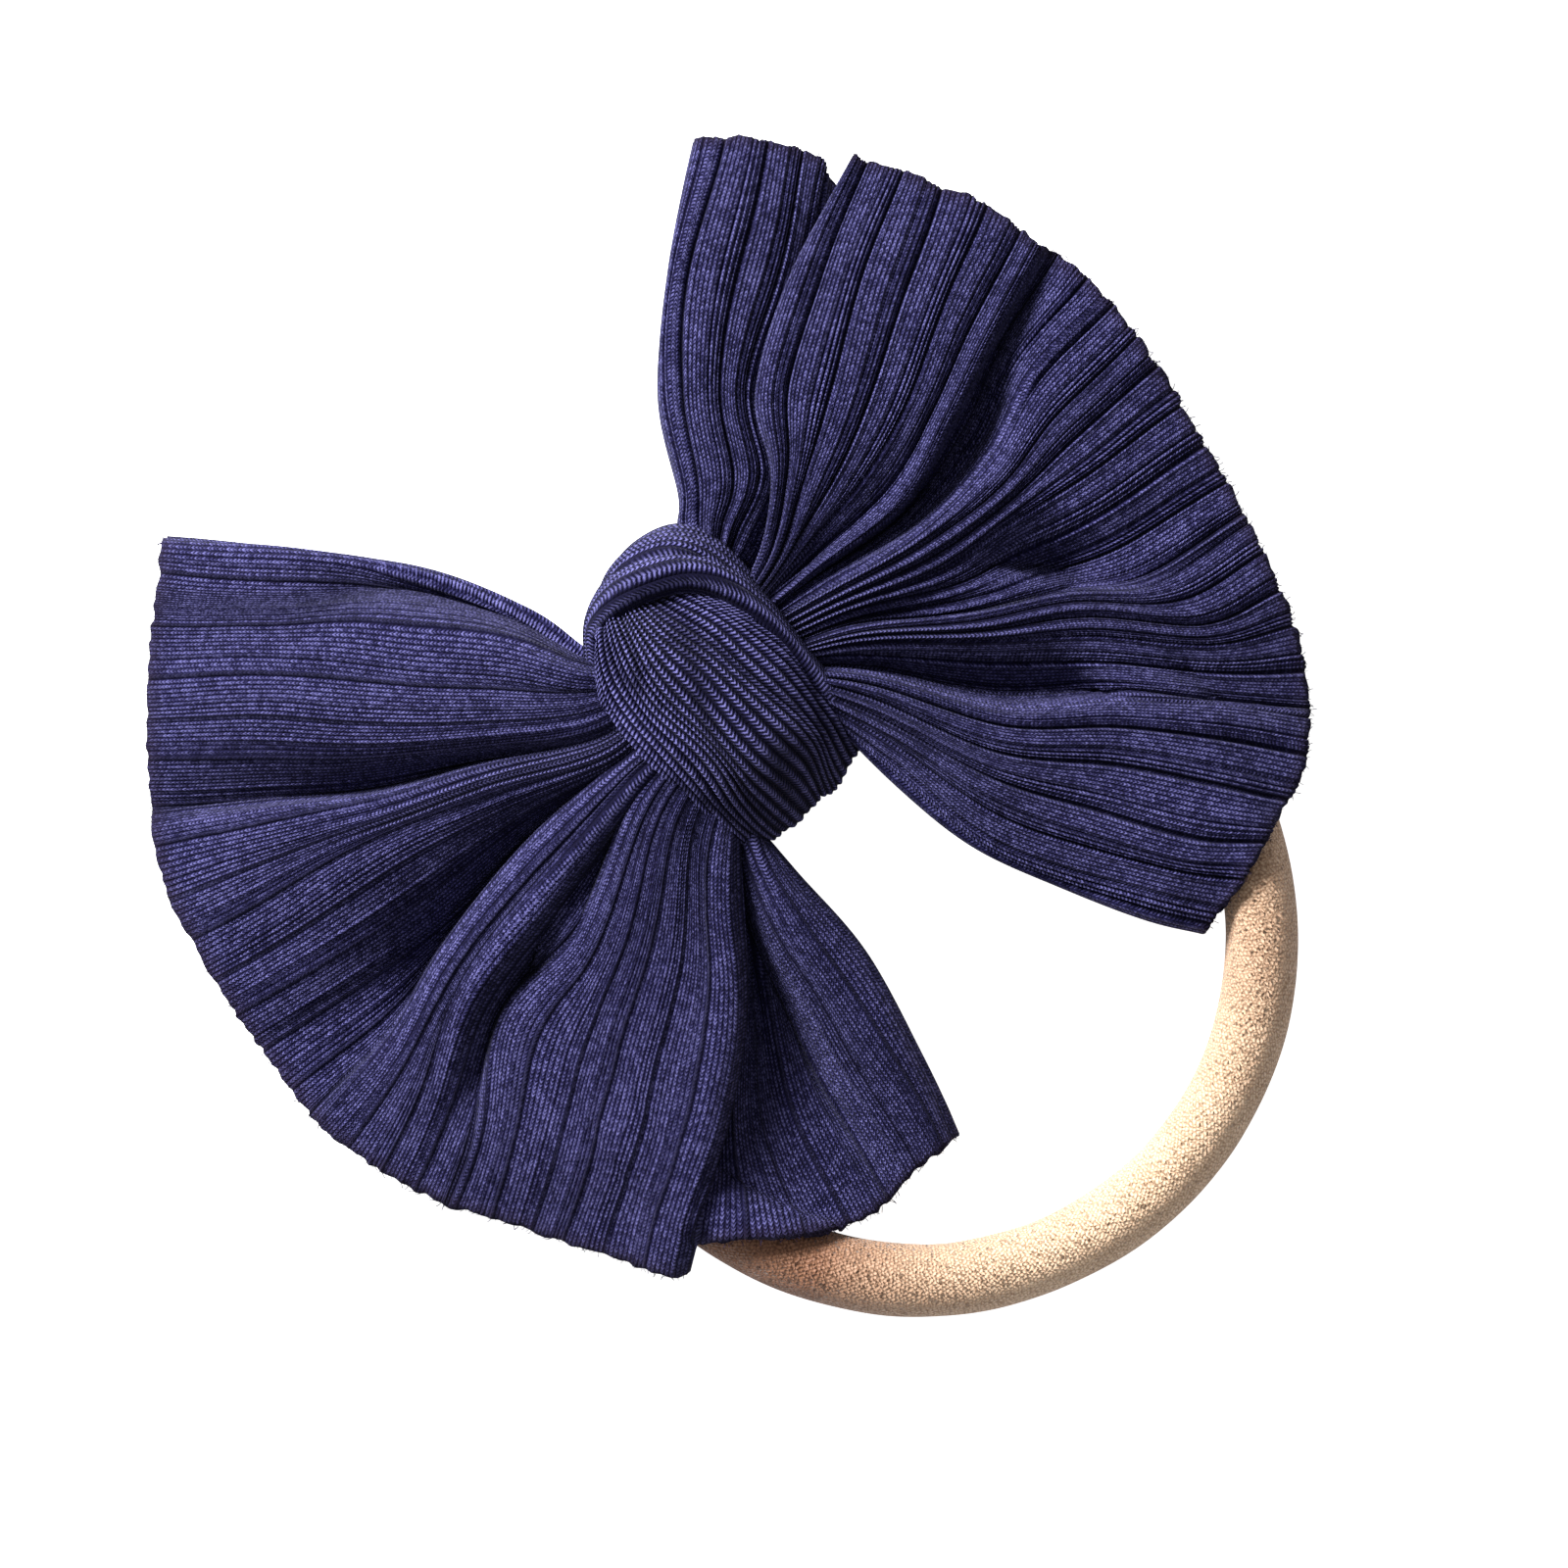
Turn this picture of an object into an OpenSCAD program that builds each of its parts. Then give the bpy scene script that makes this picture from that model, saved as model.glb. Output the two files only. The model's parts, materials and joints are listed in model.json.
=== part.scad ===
// Hair bow: a rib-knit strip knotted round a soft nylon head band.
// The bow lies on its back. +Z points out of its front, +X runs along the bow
// and the band's loop hangs towards -Y. The origin is under the knot, on the
// plane that the bow rests on.

/* [Band] */
// Thickness of the rolled nylon band
band_d = 8.3; // [6:0.1:8.4]
// Thickness of the band where the knot squeezes it
waist_d = 7.8; // [5.6:0.1:8.1]
// Height of the band's middle line where it goes through the knot
band_z = 6; // [6:0.1:6.2]
// Radius of the band's loop, along its middle line
loop_r = 39; // [37:0.5:41]
// Distance from the knot to the middle of the loop
loop_drop = 36; // [34.5:0.5:37]
// Sideways offset of the loop from the knot
loop_x = 2; // [0:0.5:3]

/* [Knot] */
// Length of the knot, across the bow
knot_len = 35; // [33:1:36]
// Width of the knot, along the bow
knot_w = 21; // [20:0.5:21]
// Height of the knot's front above the resting plane
knot_top = 22; // [21.5:0.5:23]
// Thickness of the cloth turned round the band
turn_wall = 1.9; // [1.2:0.1:1.9]
// Thickness of the fold over the knot's upper end
hood_wall = 1.6; // [1.2:0.1:2]
// Angle that the fold covers
hood_angle = 215; // [150:5:230]

/* [Necks] */
// Width of the gathered cloth where it leaves the knot
neck_w = 13; // [10:1:14]
// Height of the gathered cloth where it leaves the knot
neck_h = 5; // [4.6:0.1:5]
// Distance from the knot's middle to the left tail's fold line
left_fold_x = 15; // [15:0.5:18]
// Lean of the left tail's fold line, seen from the front
left_fold_lean = 15; // [10:1:16]
// Distance from the knot's middle to the right tail's fold line
right_fold_x = 13.6; // [13.6:0.2:17]

/* [Tails] */
// Radius of the left tail's cut edge
left_r = 69; // [66:1:70]
// Radius of the right tail's cut edge
right_r = 63; // [61:1:65]
// Depth of the gathers across each tail
gather_depth = 1.6; // [0.5:0.1:2]
// Thinnest stretch of a tail's gathered cloth
cloth_min = 2.2; // [1.5:0.1:3]

/* [Hidden] */

navy = [0.22, 0.21, 0.42];
navy_dark = [0.17, 0.16, 0.34];
navy_light = [0.28, 0.27, 0.50];
nylon = [0.88, 0.76, 0.63];

run_gap = 0.1;       // clearance of the band in the knot
soft_gap = 0.35;     // clearance of soft pieces that move past each other
layer_gap = 0.12;    // gap between layers inside the knot
big = 200;

band_r = band_d / 2;
waist_r = waist_d / 2;
waist_angle = acos(loop_drop / loop_r);   // half the loop's angle that the straight waist spans
waist_half = loop_r * sin(waist_angle);
band_tilt = asin((band_z - band_r) / (loop_drop + loop_r));

turn_r = waist_r + run_gap + turn_wall;
turn_len = 18;
knot_r = knot_w / 2;
knot_x = -0.5;       // the knot sits a little left of the middle
knot_y = 0.5;
knot_z = knot_top - knot_r;
knot_round = 2.6;    // roundness of the knot's outline
neck_z = band_z + turn_r + layer_gap + neck_h / 2;
nose_r = neck_h / 2;
fold_z = neck_z;
tilt_rise = tan(band_tilt);

function mix(a, b, t) = a + (b - a) * t;
function ease(t) = let (s = min(max(t, 0), 1)) s * s * (3 - 2 * s);
function bend(a, b, c, t) = (1 - t) * (1 - t) * a + 2 * t * (1 - t) * b + t * t * c;
function on_arc(centre, r, angle) = centre + r * [cos(angle), sin(angle)];

// Distance in plan from a point to the band's middle line
function band_away(p) =
    abs(p.x - loop_x) < waist_half && p.y > -loop_drop / 2 ? abs(p.y)
    : abs(norm([p.x - loop_x, p.y + loop_drop]) - loop_r);

// Lowest height that soft cloth may reach at a point, so that it lies over the band
function cloth_floor(p, base) =
    let (over = band_z + p.y * tilt_rise + band_r + soft_gap + 0.4,
         near = 1 - ease((band_away(p) - 6.8) / 5))
    max(base, mix(base, over, near));

// ---- band ----

// The loop is one round arc, closed by a straight waist that the knot squeezes
module band() {
    waist_end = 1.2;
    color(nylon)
        translate([0, 0, band_z]) rotate([band_tilt, 0, 0]) translate([loop_x, 0, 0]) {
            rotate([0, 90, 0])
                cylinder(r = waist_r, h = 2 * (waist_half + waist_end), center = true, $fn = 48);
            translate([0, -loop_drop, 0]) rotate([0, 0, 90 + waist_angle])
                rotate_extrude(angle = 360 - 2 * waist_angle, $fn = 120)
                    translate([loop_r, 0]) circle(band_r, $fn = 48);
        }
}

// ---- knot ----

// Half width of the knot at a distance t from its middle, from 0 to 1
function knot_half(r, t) = r * pow(1 - pow(t, knot_round), 1 / knot_round);

// Half of the knot's outline, from one end to the other
function knot_outline(r, half) = [
    for (angle = [-90 : 7.5 : 90])
        let (t = sin(angle)) [max(knot_half(r, abs(t)), 0), half * t]
];

module knot_barrel(r, half) {
    translate([knot_x, knot_y, knot_z])
        rotate([-90, 0, 0]) rotate_extrude($fn = 72) polygon(knot_outline(r, half));
}

module along_x(length, r) {
    rotate([0, 90, 0]) cylinder(r = r, h = length, center = true, $fn = 64);
}

// Flat round-ended bundle that runs from x0 to x1
module bundle(x0, x1, grow = 0) {
    height = neck_h + 2 * grow;
    half = (neck_w + 2 * grow - height) / 2;
    translate([x0, 0, neck_z]) rotate([90, 0, 90]) linear_extrude(x1 - x0) {
        square([2 * half, height], center = true);
        for (side = [-1, 1]) translate([side * half, 0]) circle(height / 2, $fn = 40);
    }
}

module knot_turn() {
    color(navy_dark) translate([0, 0, band_z]) difference() {
        along_x(turn_len, turn_r);
        along_x(turn_len + 2, waist_r + run_gap);
    }
}

module knot_front() {
    color(navy) difference() {
        knot_barrel(knot_r - hood_wall / 2, knot_len / 2 - hood_wall);
        translate([0, 0, band_z]) along_x(big, turn_r + layer_gap);
        bundle(-big / 2, big / 2, layer_gap);
    }
}

module knot_hood() {
    outer_r = knot_r;
    outer_half = knot_len / 2;
    color(navy_light) translate([knot_x, knot_y, knot_z]) rotate([-90, 0, 0])
        rotate([0, 0, -90 - hood_angle / 2]) rotate_extrude(angle = hood_angle, $fn = 72)
            difference() {
                polygon(knot_outline(outer_r, outer_half));
                polygon(knot_outline(knot_r - hood_wall / 2 + layer_gap,
                                     knot_len / 2 - hood_wall + layer_gap));
                translate([-big / 2, -big]) square([big, big + knot_len * 0.24]);
            }
}

// ---- fold lines, where the tails lift ----

module left_fold_line() {
    translate([-left_fold_x, 0, fold_z]) rotate([0, 0, left_fold_lean]) rotate([-90, 0, 0])
        children();
}

module right_fold_line() {
    translate([right_fold_x, 0, fold_z]) rotate([-90, 0, 0]) children();
}

module left_neck() {
    color(navy_dark) difference() {
        bundle(-left_fold_x + 1, -layer_gap);
        left_fold_line() cylinder(r = nose_r + soft_gap, h = big, center = true, $fn = 48);
    }
}

module right_neck() {
    color(navy_dark) difference() {
        bundle(layer_gap, right_fold_x - 1);
        right_fold_line() cylinder(r = nose_r + soft_gap, h = big, center = true, $fn = 48);
    }
}

// ---- tails ----

// A closed solid between an upper and a lower grid of points, rows by columns
module grid_solid(upper, lower) {
    rows = len(upper);
    cols = len(upper[0]);
    count = rows * cols;
    function at(i, j) = i * cols + j;
    function pair(a, b, c, d) = [[a, b, c], [a, c, d]];
    points = [for (row = upper) each row, for (row = lower) each row];
    faces = [
        for (i = [0 : rows - 2], j = [0 : cols - 2])
            each pair(at(i, j), at(i + 1, j), at(i + 1, j + 1), at(i, j + 1)),
        for (i = [0 : rows - 2], j = [0 : cols - 2])
            each pair(count + at(i, j), count + at(i, j + 1),
                      count + at(i + 1, j + 1), count + at(i + 1, j)),
        for (i = [0 : rows - 2], side = [0, 1])
            let (j = side * (cols - 1), a = at(i, j), b = at(i + 1, j))
            each side == 0 ? pair(a, count + a, count + b, b) : pair(b, count + b, count + a, a),
        for (j = [0 : cols - 2], side = [0, 1])
            let (i = side * (rows - 1), a = at(i, j), b = at(i, j + 1))
            each side == 0 ? pair(b, count + b, count + a, a) : pair(a, count + a, count + b, b)
    ];
    polyhedron(points, faces);
}

// A tail spreads from its fold line to a cut edge. u runs from its first side to its
// second, anticlockwise as seen from the front, and v runs out from the fold line.
function tail_plan(shape, u, v) =
    let (swell = [shape[5] * 4 * u * (1 - u), 0])
    bend(mix(shape[0][0], shape[0][1], u),
         mix(shape[1][0], shape[1][1], u) + swell,
         on_arc(shape[2], shape[3], mix(shape[4][0], shape[4][1], u)), v);

function tail_low(p, v) = cloth_floor(p, mix(fold_z - nose_r * 0.75, 0.8, ease(v * 2.2)));

function tail_high(p, u, v, gathers) =
    let (crown = mix(fold_z + nose_r * 0.75, 6.5, ease(v * 1.1 - 0.1)),
         wave = gather_depth * cos(360 * gathers * u) * ease(v * 2.5))
    max(crown + wave, tail_low(p, v) + cloth_min);

module tail_solid(shape, gathers, from_u = 0, to_u = 1, from_v = 0, rows = 34) {
    cols = 14;
    upper = [for (i = [0 : rows]) let (u = mix(from_u, to_u, i / rows))
        [for (j = [0 : cols]) let (v = mix(from_v, 1, j / cols), p = tail_plan(shape, u, v))
            [p.x, p.y, tail_high(p, u, v, gathers)]]];
    lower = [for (i = [0 : rows]) let (u = mix(from_u, to_u, i / rows))
        [for (j = [0 : cols]) let (v = mix(from_v, 1, j / cols), p = tail_plan(shape, u, v))
            [p.x, p.y, tail_low(p, v)]]];
    grid_solid(upper, lower);
}

// Ends of the inner line, guide points of the two sides, the cut edge's centre, radius
// and angles, and how far the middle's guide point stands out
left_shape = [
    [[-18.3, 10], [-14.2, -6]], [[-17, 41], [-12, -42]],
    [3, -1.5], left_r, [132.5, 227.5], -18
];
right_shape = [
    [[14.4, -8.2], [14.4, 8.2]], [[6, -28], [6, 44]],
    [-1, 0], right_r, [-61, 59], 22
];
right_split = 0.84;   // where the upper pleat leaves the rest of the right tail

module left_tail() {
    color(navy) {
        tail_solid(left_shape, 5);
        left_fold_line() translate([0, 0, -8.3]) cylinder(r = nose_r, h = 20.6, $fn = 48);
    }
}

module right_tail() {
    color(navy) {
        tail_solid(right_shape, 5, 0, right_split);
        right_fold_line() translate([0, 0, -9.7]) cylinder(r = nose_r, h = 19.4, $fn = 48);
    }
}

// The stretch of the left tail that turns under its lower edge and shows beside it
module left_pleat() {
    rows = 16;
    cols = 12;
    seam_gap = [0.3, -0.3];
    function plan(u, v) = mix(
        tail_plan(left_shape, 1, mix(0.24, 0.95, v)) + seam_gap,
        bend([-8, -19], [0.5, -33], [-8, -57], v), u) + [0, -16 * u * (1 - u) * v * v];
    function low(p) = cloth_floor(p, 0.6);
    function high(p, u, v) = max(mix(9, 5, v) + gather_depth * cos(540 * u) * v, low(p) + cloth_min);
    upper = [for (i = [0 : rows]) let (u = i / rows)
        [for (j = [0 : cols]) let (v = j / cols, p = plan(u, v)) [p.x, p.y, high(p, u, v)]]];
    lower = [for (i = [0 : rows]) let (u = i / rows)
        [for (j = [0 : cols]) let (v = j / cols, p = plan(u, v)) [p.x, p.y, low(p)]]];
    color(navy_dark) grid_solid(upper, lower);
}

// The upper stretch of the right tail, which lies behind the rest
module right_pleat() {
    color(navy_dark) tail_solid(right_shape, 5, right_split + 0.004, 1, 0.12, 10);
}

band();
knot_turn();
knot_front();
knot_hood();
left_neck();
right_neck();
left_tail();
left_pleat();
right_tail();
right_pleat();
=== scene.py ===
import json
import math

import bpy
import numpy as np
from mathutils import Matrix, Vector, noise


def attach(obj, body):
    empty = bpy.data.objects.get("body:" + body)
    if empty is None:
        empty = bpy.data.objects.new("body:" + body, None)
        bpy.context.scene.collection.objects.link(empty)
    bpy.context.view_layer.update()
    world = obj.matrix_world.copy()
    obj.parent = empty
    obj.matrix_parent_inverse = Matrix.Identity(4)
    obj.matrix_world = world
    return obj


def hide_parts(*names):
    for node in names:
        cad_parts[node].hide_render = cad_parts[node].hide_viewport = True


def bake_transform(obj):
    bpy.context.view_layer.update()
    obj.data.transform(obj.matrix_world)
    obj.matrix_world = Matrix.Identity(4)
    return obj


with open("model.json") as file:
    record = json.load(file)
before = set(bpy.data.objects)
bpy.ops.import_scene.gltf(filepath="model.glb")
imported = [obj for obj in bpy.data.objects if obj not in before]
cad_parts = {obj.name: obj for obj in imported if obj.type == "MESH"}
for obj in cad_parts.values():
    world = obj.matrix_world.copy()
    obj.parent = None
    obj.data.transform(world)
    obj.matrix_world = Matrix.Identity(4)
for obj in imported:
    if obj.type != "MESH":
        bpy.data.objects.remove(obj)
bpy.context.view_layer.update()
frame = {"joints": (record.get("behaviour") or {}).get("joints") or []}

mm = 0.001
scene = bpy.context.scene


cameraSettings = {
    "target": (-0.8, -12.9, 8.0),   # mm, what the lens points at
    "distance": 987.0,              # mm
    "roll": -34.4,                  # degrees about the line of sight
    "lens": 200.0,
    "sensor": 36.0,
}

lightSettings = {
    "keyFrom": (-0.19, 0.77, 0.54),   # direction from the bow to the key light
    "keyDistance": 0.9,            # m
    "keySize": 0.36,
    "keyPower": 26.5,
    "fillFrom": (-0.1, 0.1, 1.0),
    "fillDistance": 1.2,
    "fillPower": 1.3,
    "fillSize": 0.9,
    "world": 0.30,
    "floorSize": 4.0,
    "floorDrop": 0.0004,           # m below the bow
    "floorPaint": (0.86, 0.86, 0.86, 1),
    "floorGlow": 1.0,              # keeps the table pale under the bow
}


def makeCamera(opts):
    data = bpy.data.cameras.new("camera")
    data.lens = opts["lens"]
    data.sensor_width = opts["sensor"]
    data.clip_start = 0.02
    data.clip_end = 20.0
    cam = bpy.data.objects.new("camera", data)
    scene.collection.objects.link(cam)
    x, y, z = (v * mm for v in opts["target"])
    cam.location = (x, y, z + opts["distance"] * mm)
    cam.rotation_euler = (0, 0, math.radians(opts["roll"]))
    scene.camera = cam


def makeAreaLight(name, direction, distance, size, power):
    data = bpy.data.lights.new(name, "AREA")
    data.shape = "DISK"
    data.size = size
    data.energy = power
    lamp = bpy.data.objects.new(name, data)
    scene.collection.objects.link(lamp)
    toLamp = Vector(direction).normalized()
    lamp.location = toLamp * distance
    lamp.rotation_mode = "QUATERNION"
    lamp.rotation_quaternion = toLamp.to_track_quat("Z", "Y")


def makeLights(opts):
    for name in ("key", "fill"):
        makeAreaLight(name + "Light", opts[name + "From"], opts[name + "Distance"], opts[name + "Size"],
                      opts[name + "Power"])
    world = bpy.data.worlds.new("studio")
    world.use_nodes = True
    sky = world.node_tree.nodes["Background"]
    sky.inputs[0].default_value = (1, 1, 1, 1)
    sky.inputs[1].default_value = opts["world"]
    scene.world = world
    scene.view_settings.view_transform = "Standard"


def makeFloor(opts):
    half = opts["floorSize"] / 2
    data = bpy.data.meshes.new("floor")
    data.from_pydata([(-half, -half, 0), (half, -half, 0), (half, half, 0), (-half, half, 0)], [],
                     [(0, 1, 2, 3)])
    floor = bpy.data.objects.new("floor", data)
    scene.collection.objects.link(floor)
    floor.location.z = -opts["floorDrop"]
    mat = bpy.data.materials.new("paperFloor")
    mat.use_nodes = True
    shader = mat.node_tree.nodes["Principled BSDF"]
    shader.inputs["Base Color"].default_value = opts["floorPaint"]
    shader.inputs["Roughness"].default_value = 0.9
    shader.inputs["Emission Color"].default_value = (1, 1, 1, 1)
    seen = mat.node_tree.nodes.new("ShaderNodeLightPath")
    glow = mat.node_tree.nodes.new("ShaderNodeMath")
    glow.operation = "MULTIPLY"
    glow.inputs[1].default_value = opts["floorGlow"]
    mat.node_tree.links.new(seen.outputs["Is Camera Ray"], glow.inputs[0])
    mat.node_tree.links.new(glow.outputs[0], shader.inputs["Emission Strength"])
    data.materials.append(mat)


# Short calls for building a material's tree
class Nodes:

    def __init__(self, name):
        self.mat = bpy.data.materials.new(name)
        self.mat.use_nodes = True
        self.tree = self.mat.node_tree
        self.shader = self.tree.nodes["Principled BSDF"]

    def put(self, socket, value):
        if hasattr(value, "is_linked"):
            self.tree.links.new(value, socket)
        else:
            socket.default_value = value

    def node(self, kind, **settings):
        made = self.tree.nodes.new(kind)
        for key, value in settings.items():
            setattr(made, key, value)
        return made

    def math(self, operation, a, b=0.0, c=0.0):
        made = self.node("ShaderNodeMath", operation=operation)
        for socket, value in zip(made.inputs, (a, b, c)):
            self.put(socket, value)
        return made.outputs[0]

    def mix(self, factor, a, b):
        made = self.node("ShaderNodeMix", data_type="RGBA")
        self.put(made.inputs[0], factor)
        self.put(made.inputs[6], a)
        self.put(made.inputs[7], b)
        return made.outputs[2]

    def span(self, value, fromLow, fromHigh, toLow=0.0, toHigh=1.0):
        made = self.node("ShaderNodeMapRange")
        for socket, v in zip(made.inputs, (value, fromLow, fromHigh, toLow, toHigh)):
            self.put(socket, v)
        return made.outputs[0]

    def attribute(self, name):
        return self.node("ShaderNodeAttribute", attribute_name=name).outputs[2]

    def noise(self, vector, scale, detail=2.0):
        made = self.node("ShaderNodeTexNoise")
        self.put(made.inputs["Vector"], vector)
        made.inputs["Scale"].default_value = scale
        made.inputs["Detail"].default_value = detail
        return made.outputs[0]

    def bump(self, height, distance, strength=1.0, normal=None):
        made = self.node("ShaderNodeBump")
        made.inputs["Strength"].default_value = strength
        made.inputs["Distance"].default_value = distance
        self.put(made.inputs["Height"], height)
        if normal is not None:
            self.put(made.inputs["Normal"], normal)
        return made.outputs[0]


knitLook = {
    "wale": 0.52,          # mm between columns of stitches
    "course": 0.46,        # mm between rows of stitches
    "slant": 0.80,         # how far a stitch's legs lean, in courses
    # deep and lit: painted shade and painted highlight of the navy yarn; deep is also the colour of the
    # painted shade in the grooves
    "deep": (0.0026, 0.0021, 0.0130, 1),
    "yarn": (0.0152, 0.0138, 0.0620, 1),
    "lit": (0.122, 0.117, 0.300, 1),
    # edge: the dark purple that the painted shade at the cut edge goes towards
    "edge": (0.014, 0.0085, 0.022, 1),
    "stitchDepth": 0.00024,   # m
    "fuzzDepth": 0.00008,
    "fibreScale": 4600.0,
    "patchScale": 260.0,
    "boldHeight": 0.7,     # how much deeper the stitches are where they stand out
    "boldTone": 0.85,
    "boldMiddle": 0.62,
    "stitchTone": 0.85,    # how much each of these lightens the yarn; the stitch share is painted highlight on the stitch tops, the cell, fibre and patch shares are the yarn's own uneven tone
    "cellTone": 0.42,
    "fibreTone": 1.2,
    "patchTone": 0.35,
    "darkSpan": (0.18, 0.72),
    "lightSpan": (0.66, 1.26),
    "grooveShade": 0.88,
    "rimShade": 0.7,
    "roughness": 0.85,
    "specular": 0.08,
    "sheen": 0.05,
}


def ribKnitMaterial(look):
    n = Nodes("ribKnit")
    uv = n.node("ShaderNodeUVMap", uv_map="cloth").outputs[0]
    split = n.node("ShaderNodeSeparateXYZ")
    n.put(split.inputs[0], uv)
    along = n.math("DIVIDE", split.outputs[1], look["course"])

    # Height of the stitches, and the row that each stands in, for one spacing of the wales
    def stitches(across):
        fromMiddle = n.math("ABSOLUTE", n.math("SUBTRACT", n.math("FRACT", across), 0.5))
        off = n.math("MULTIPLY", fromMiddle, 2.0)
        waleRound = n.math("SUBTRACT", 1.0, n.math("MULTIPLY", off, off))
        shift = n.node("ShaderNodeTexWhiteNoise", noise_dimensions="1D")
        n.put(shift.inputs["W"], n.math("FLOOR", across))
        row = n.math("MULTIPLY_ADD", off, look["slant"], n.math("ADD", along, shift.outputs[0]))
        legRound = n.math("SINE", n.math("MULTIPLY", n.math("FRACT", row), math.pi))
        return n.math("MULTIPLY", waleRound, n.math("MULTIPLY_ADD", legRound, 0.66, 0.34)), row

    across = n.math("DIVIDE", split.outputs[0], look["wale"])
    fine, row = stitches(across)
    coarse, _ = stitches(n.math("DIVIDE", split.outputs[0], clothSettings["ribPitch"] / 2))
    tight = n.attribute("tight")       # 0 where the cloth lies open, 1 where it is gathered
    shade = n.attribute("grooveShading")      # painted shade: 1 at the bottom of a dropped stitch, also along the creases of the knot
    bold = n.attribute("bold")         # how strongly the single stitches stand out
    stitch = n.math("MULTIPLY_ADD", n.math("SUBTRACT", coarse, fine), tight, fine)
    where = n.node("ShaderNodeTexCoord").outputs["Object"]
    cell = n.node("ShaderNodeTexWhiteNoise", noise_dimensions="2D")
    cellAt = n.node("ShaderNodeCombineXYZ")
    n.put(cellAt.inputs[0], n.math("FLOOR", across))
    n.put(cellAt.inputs[1], n.math("FLOOR", row))
    n.put(cell.inputs["Vector"], cellAt.outputs[0])
    fibre = n.noise(where, look["fibreScale"], 2.0)
    patch = n.noise(where, look["patchScale"], 3.0)
    height = n.math("MULTIPLY", stitch, n.math("MULTIPLY_ADD", bold, look["boldHeight"], 1.0))
    cellTone = n.math("MULTIPLY", cell.outputs[0], look["cellTone"])
    tone = n.math("MULTIPLY_ADD", stitch, look["stitchTone"], cellTone)
    for part, middle, share in ((stitch, look["boldMiddle"], n.math("MULTIPLY", bold, look["boldTone"])),
                                (fibre, 0.5, look["fibreTone"]), (patch, 0.5, look["patchTone"])):
        tone = n.math("ADD", tone, n.math("MULTIPLY", n.math("SUBTRACT", part, middle), share))
    # painted shade and highlight: where the stitches stand low the colour goes towards deep, where they
    # stand high towards lit
    low = n.mix(n.span(tone, *look["darkSpan"]), look["deep"], look["yarn"])
    colour = n.mix(n.span(tone, *look["lightSpan"]), low, look["lit"])
    # painted shade: grooves and creases are darkened towards the deep colour
    colour = n.mix(n.math("MULTIPLY", shade, look["grooveShade"]), colour, look["deep"])
    # painted shade: the cloth darkens towards the edge colour near the cut edge
    colour = n.mix(n.math("MULTIPLY", n.attribute("rim"), look["rimShade"]), colour, look["edge"])
    n.put(n.shader.inputs["Base Color"], colour)
    n.shader.inputs["Roughness"].default_value = look["roughness"]
    n.shader.inputs["Specular IOR Level"].default_value = look["specular"]
    n.shader.inputs["Sheen Weight"].default_value = look["sheen"]
    n.shader.inputs["Sheen Roughness"].default_value = 0.4
    n.shader.inputs["Sheen Tint"].default_value = (0.6, 0.6, 0.95, 1)
    fuzz = n.bump(fibre, look["fuzzDepth"], 0.8)
    n.put(n.shader.inputs["Normal"], n.bump(height, look["stitchDepth"], 1.0, fuzz))
    return n.mat


bandLook = {
    "rib": 0.46,           # mm between rows of the fine knit, along the band
    "stitch": 0.50,        # mm between stitches, round the band
    # deep and lit: painted shade and painted highlight of the band's yarn
    "deep": (0.32, 0.180, 0.098, 1),
    "yarn": (0.62, 0.415, 0.265, 1),
    "lit": (0.79, 0.60, 0.425, 1),
    "bowShadow": (0.35, 0.22, 0.165, 1),  # painted shadow: multiplies the colour where the bow shades the band
    "depth": 0.00011,      # m
    "drift": 2.6,          # stitches, how far the rows stray
    "stagger": 0.37,       # stitches, from one row to the next
    "grainScale": 3600.0,
    "patchScale": 160.0,
    "driftScale": 1400.0,
    "darkSpan": (0.2, 0.62),
    "lightSpan": (0.6, 1.0),
    "roughness": 0.62,
    "sheen": 0.2,
}


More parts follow.
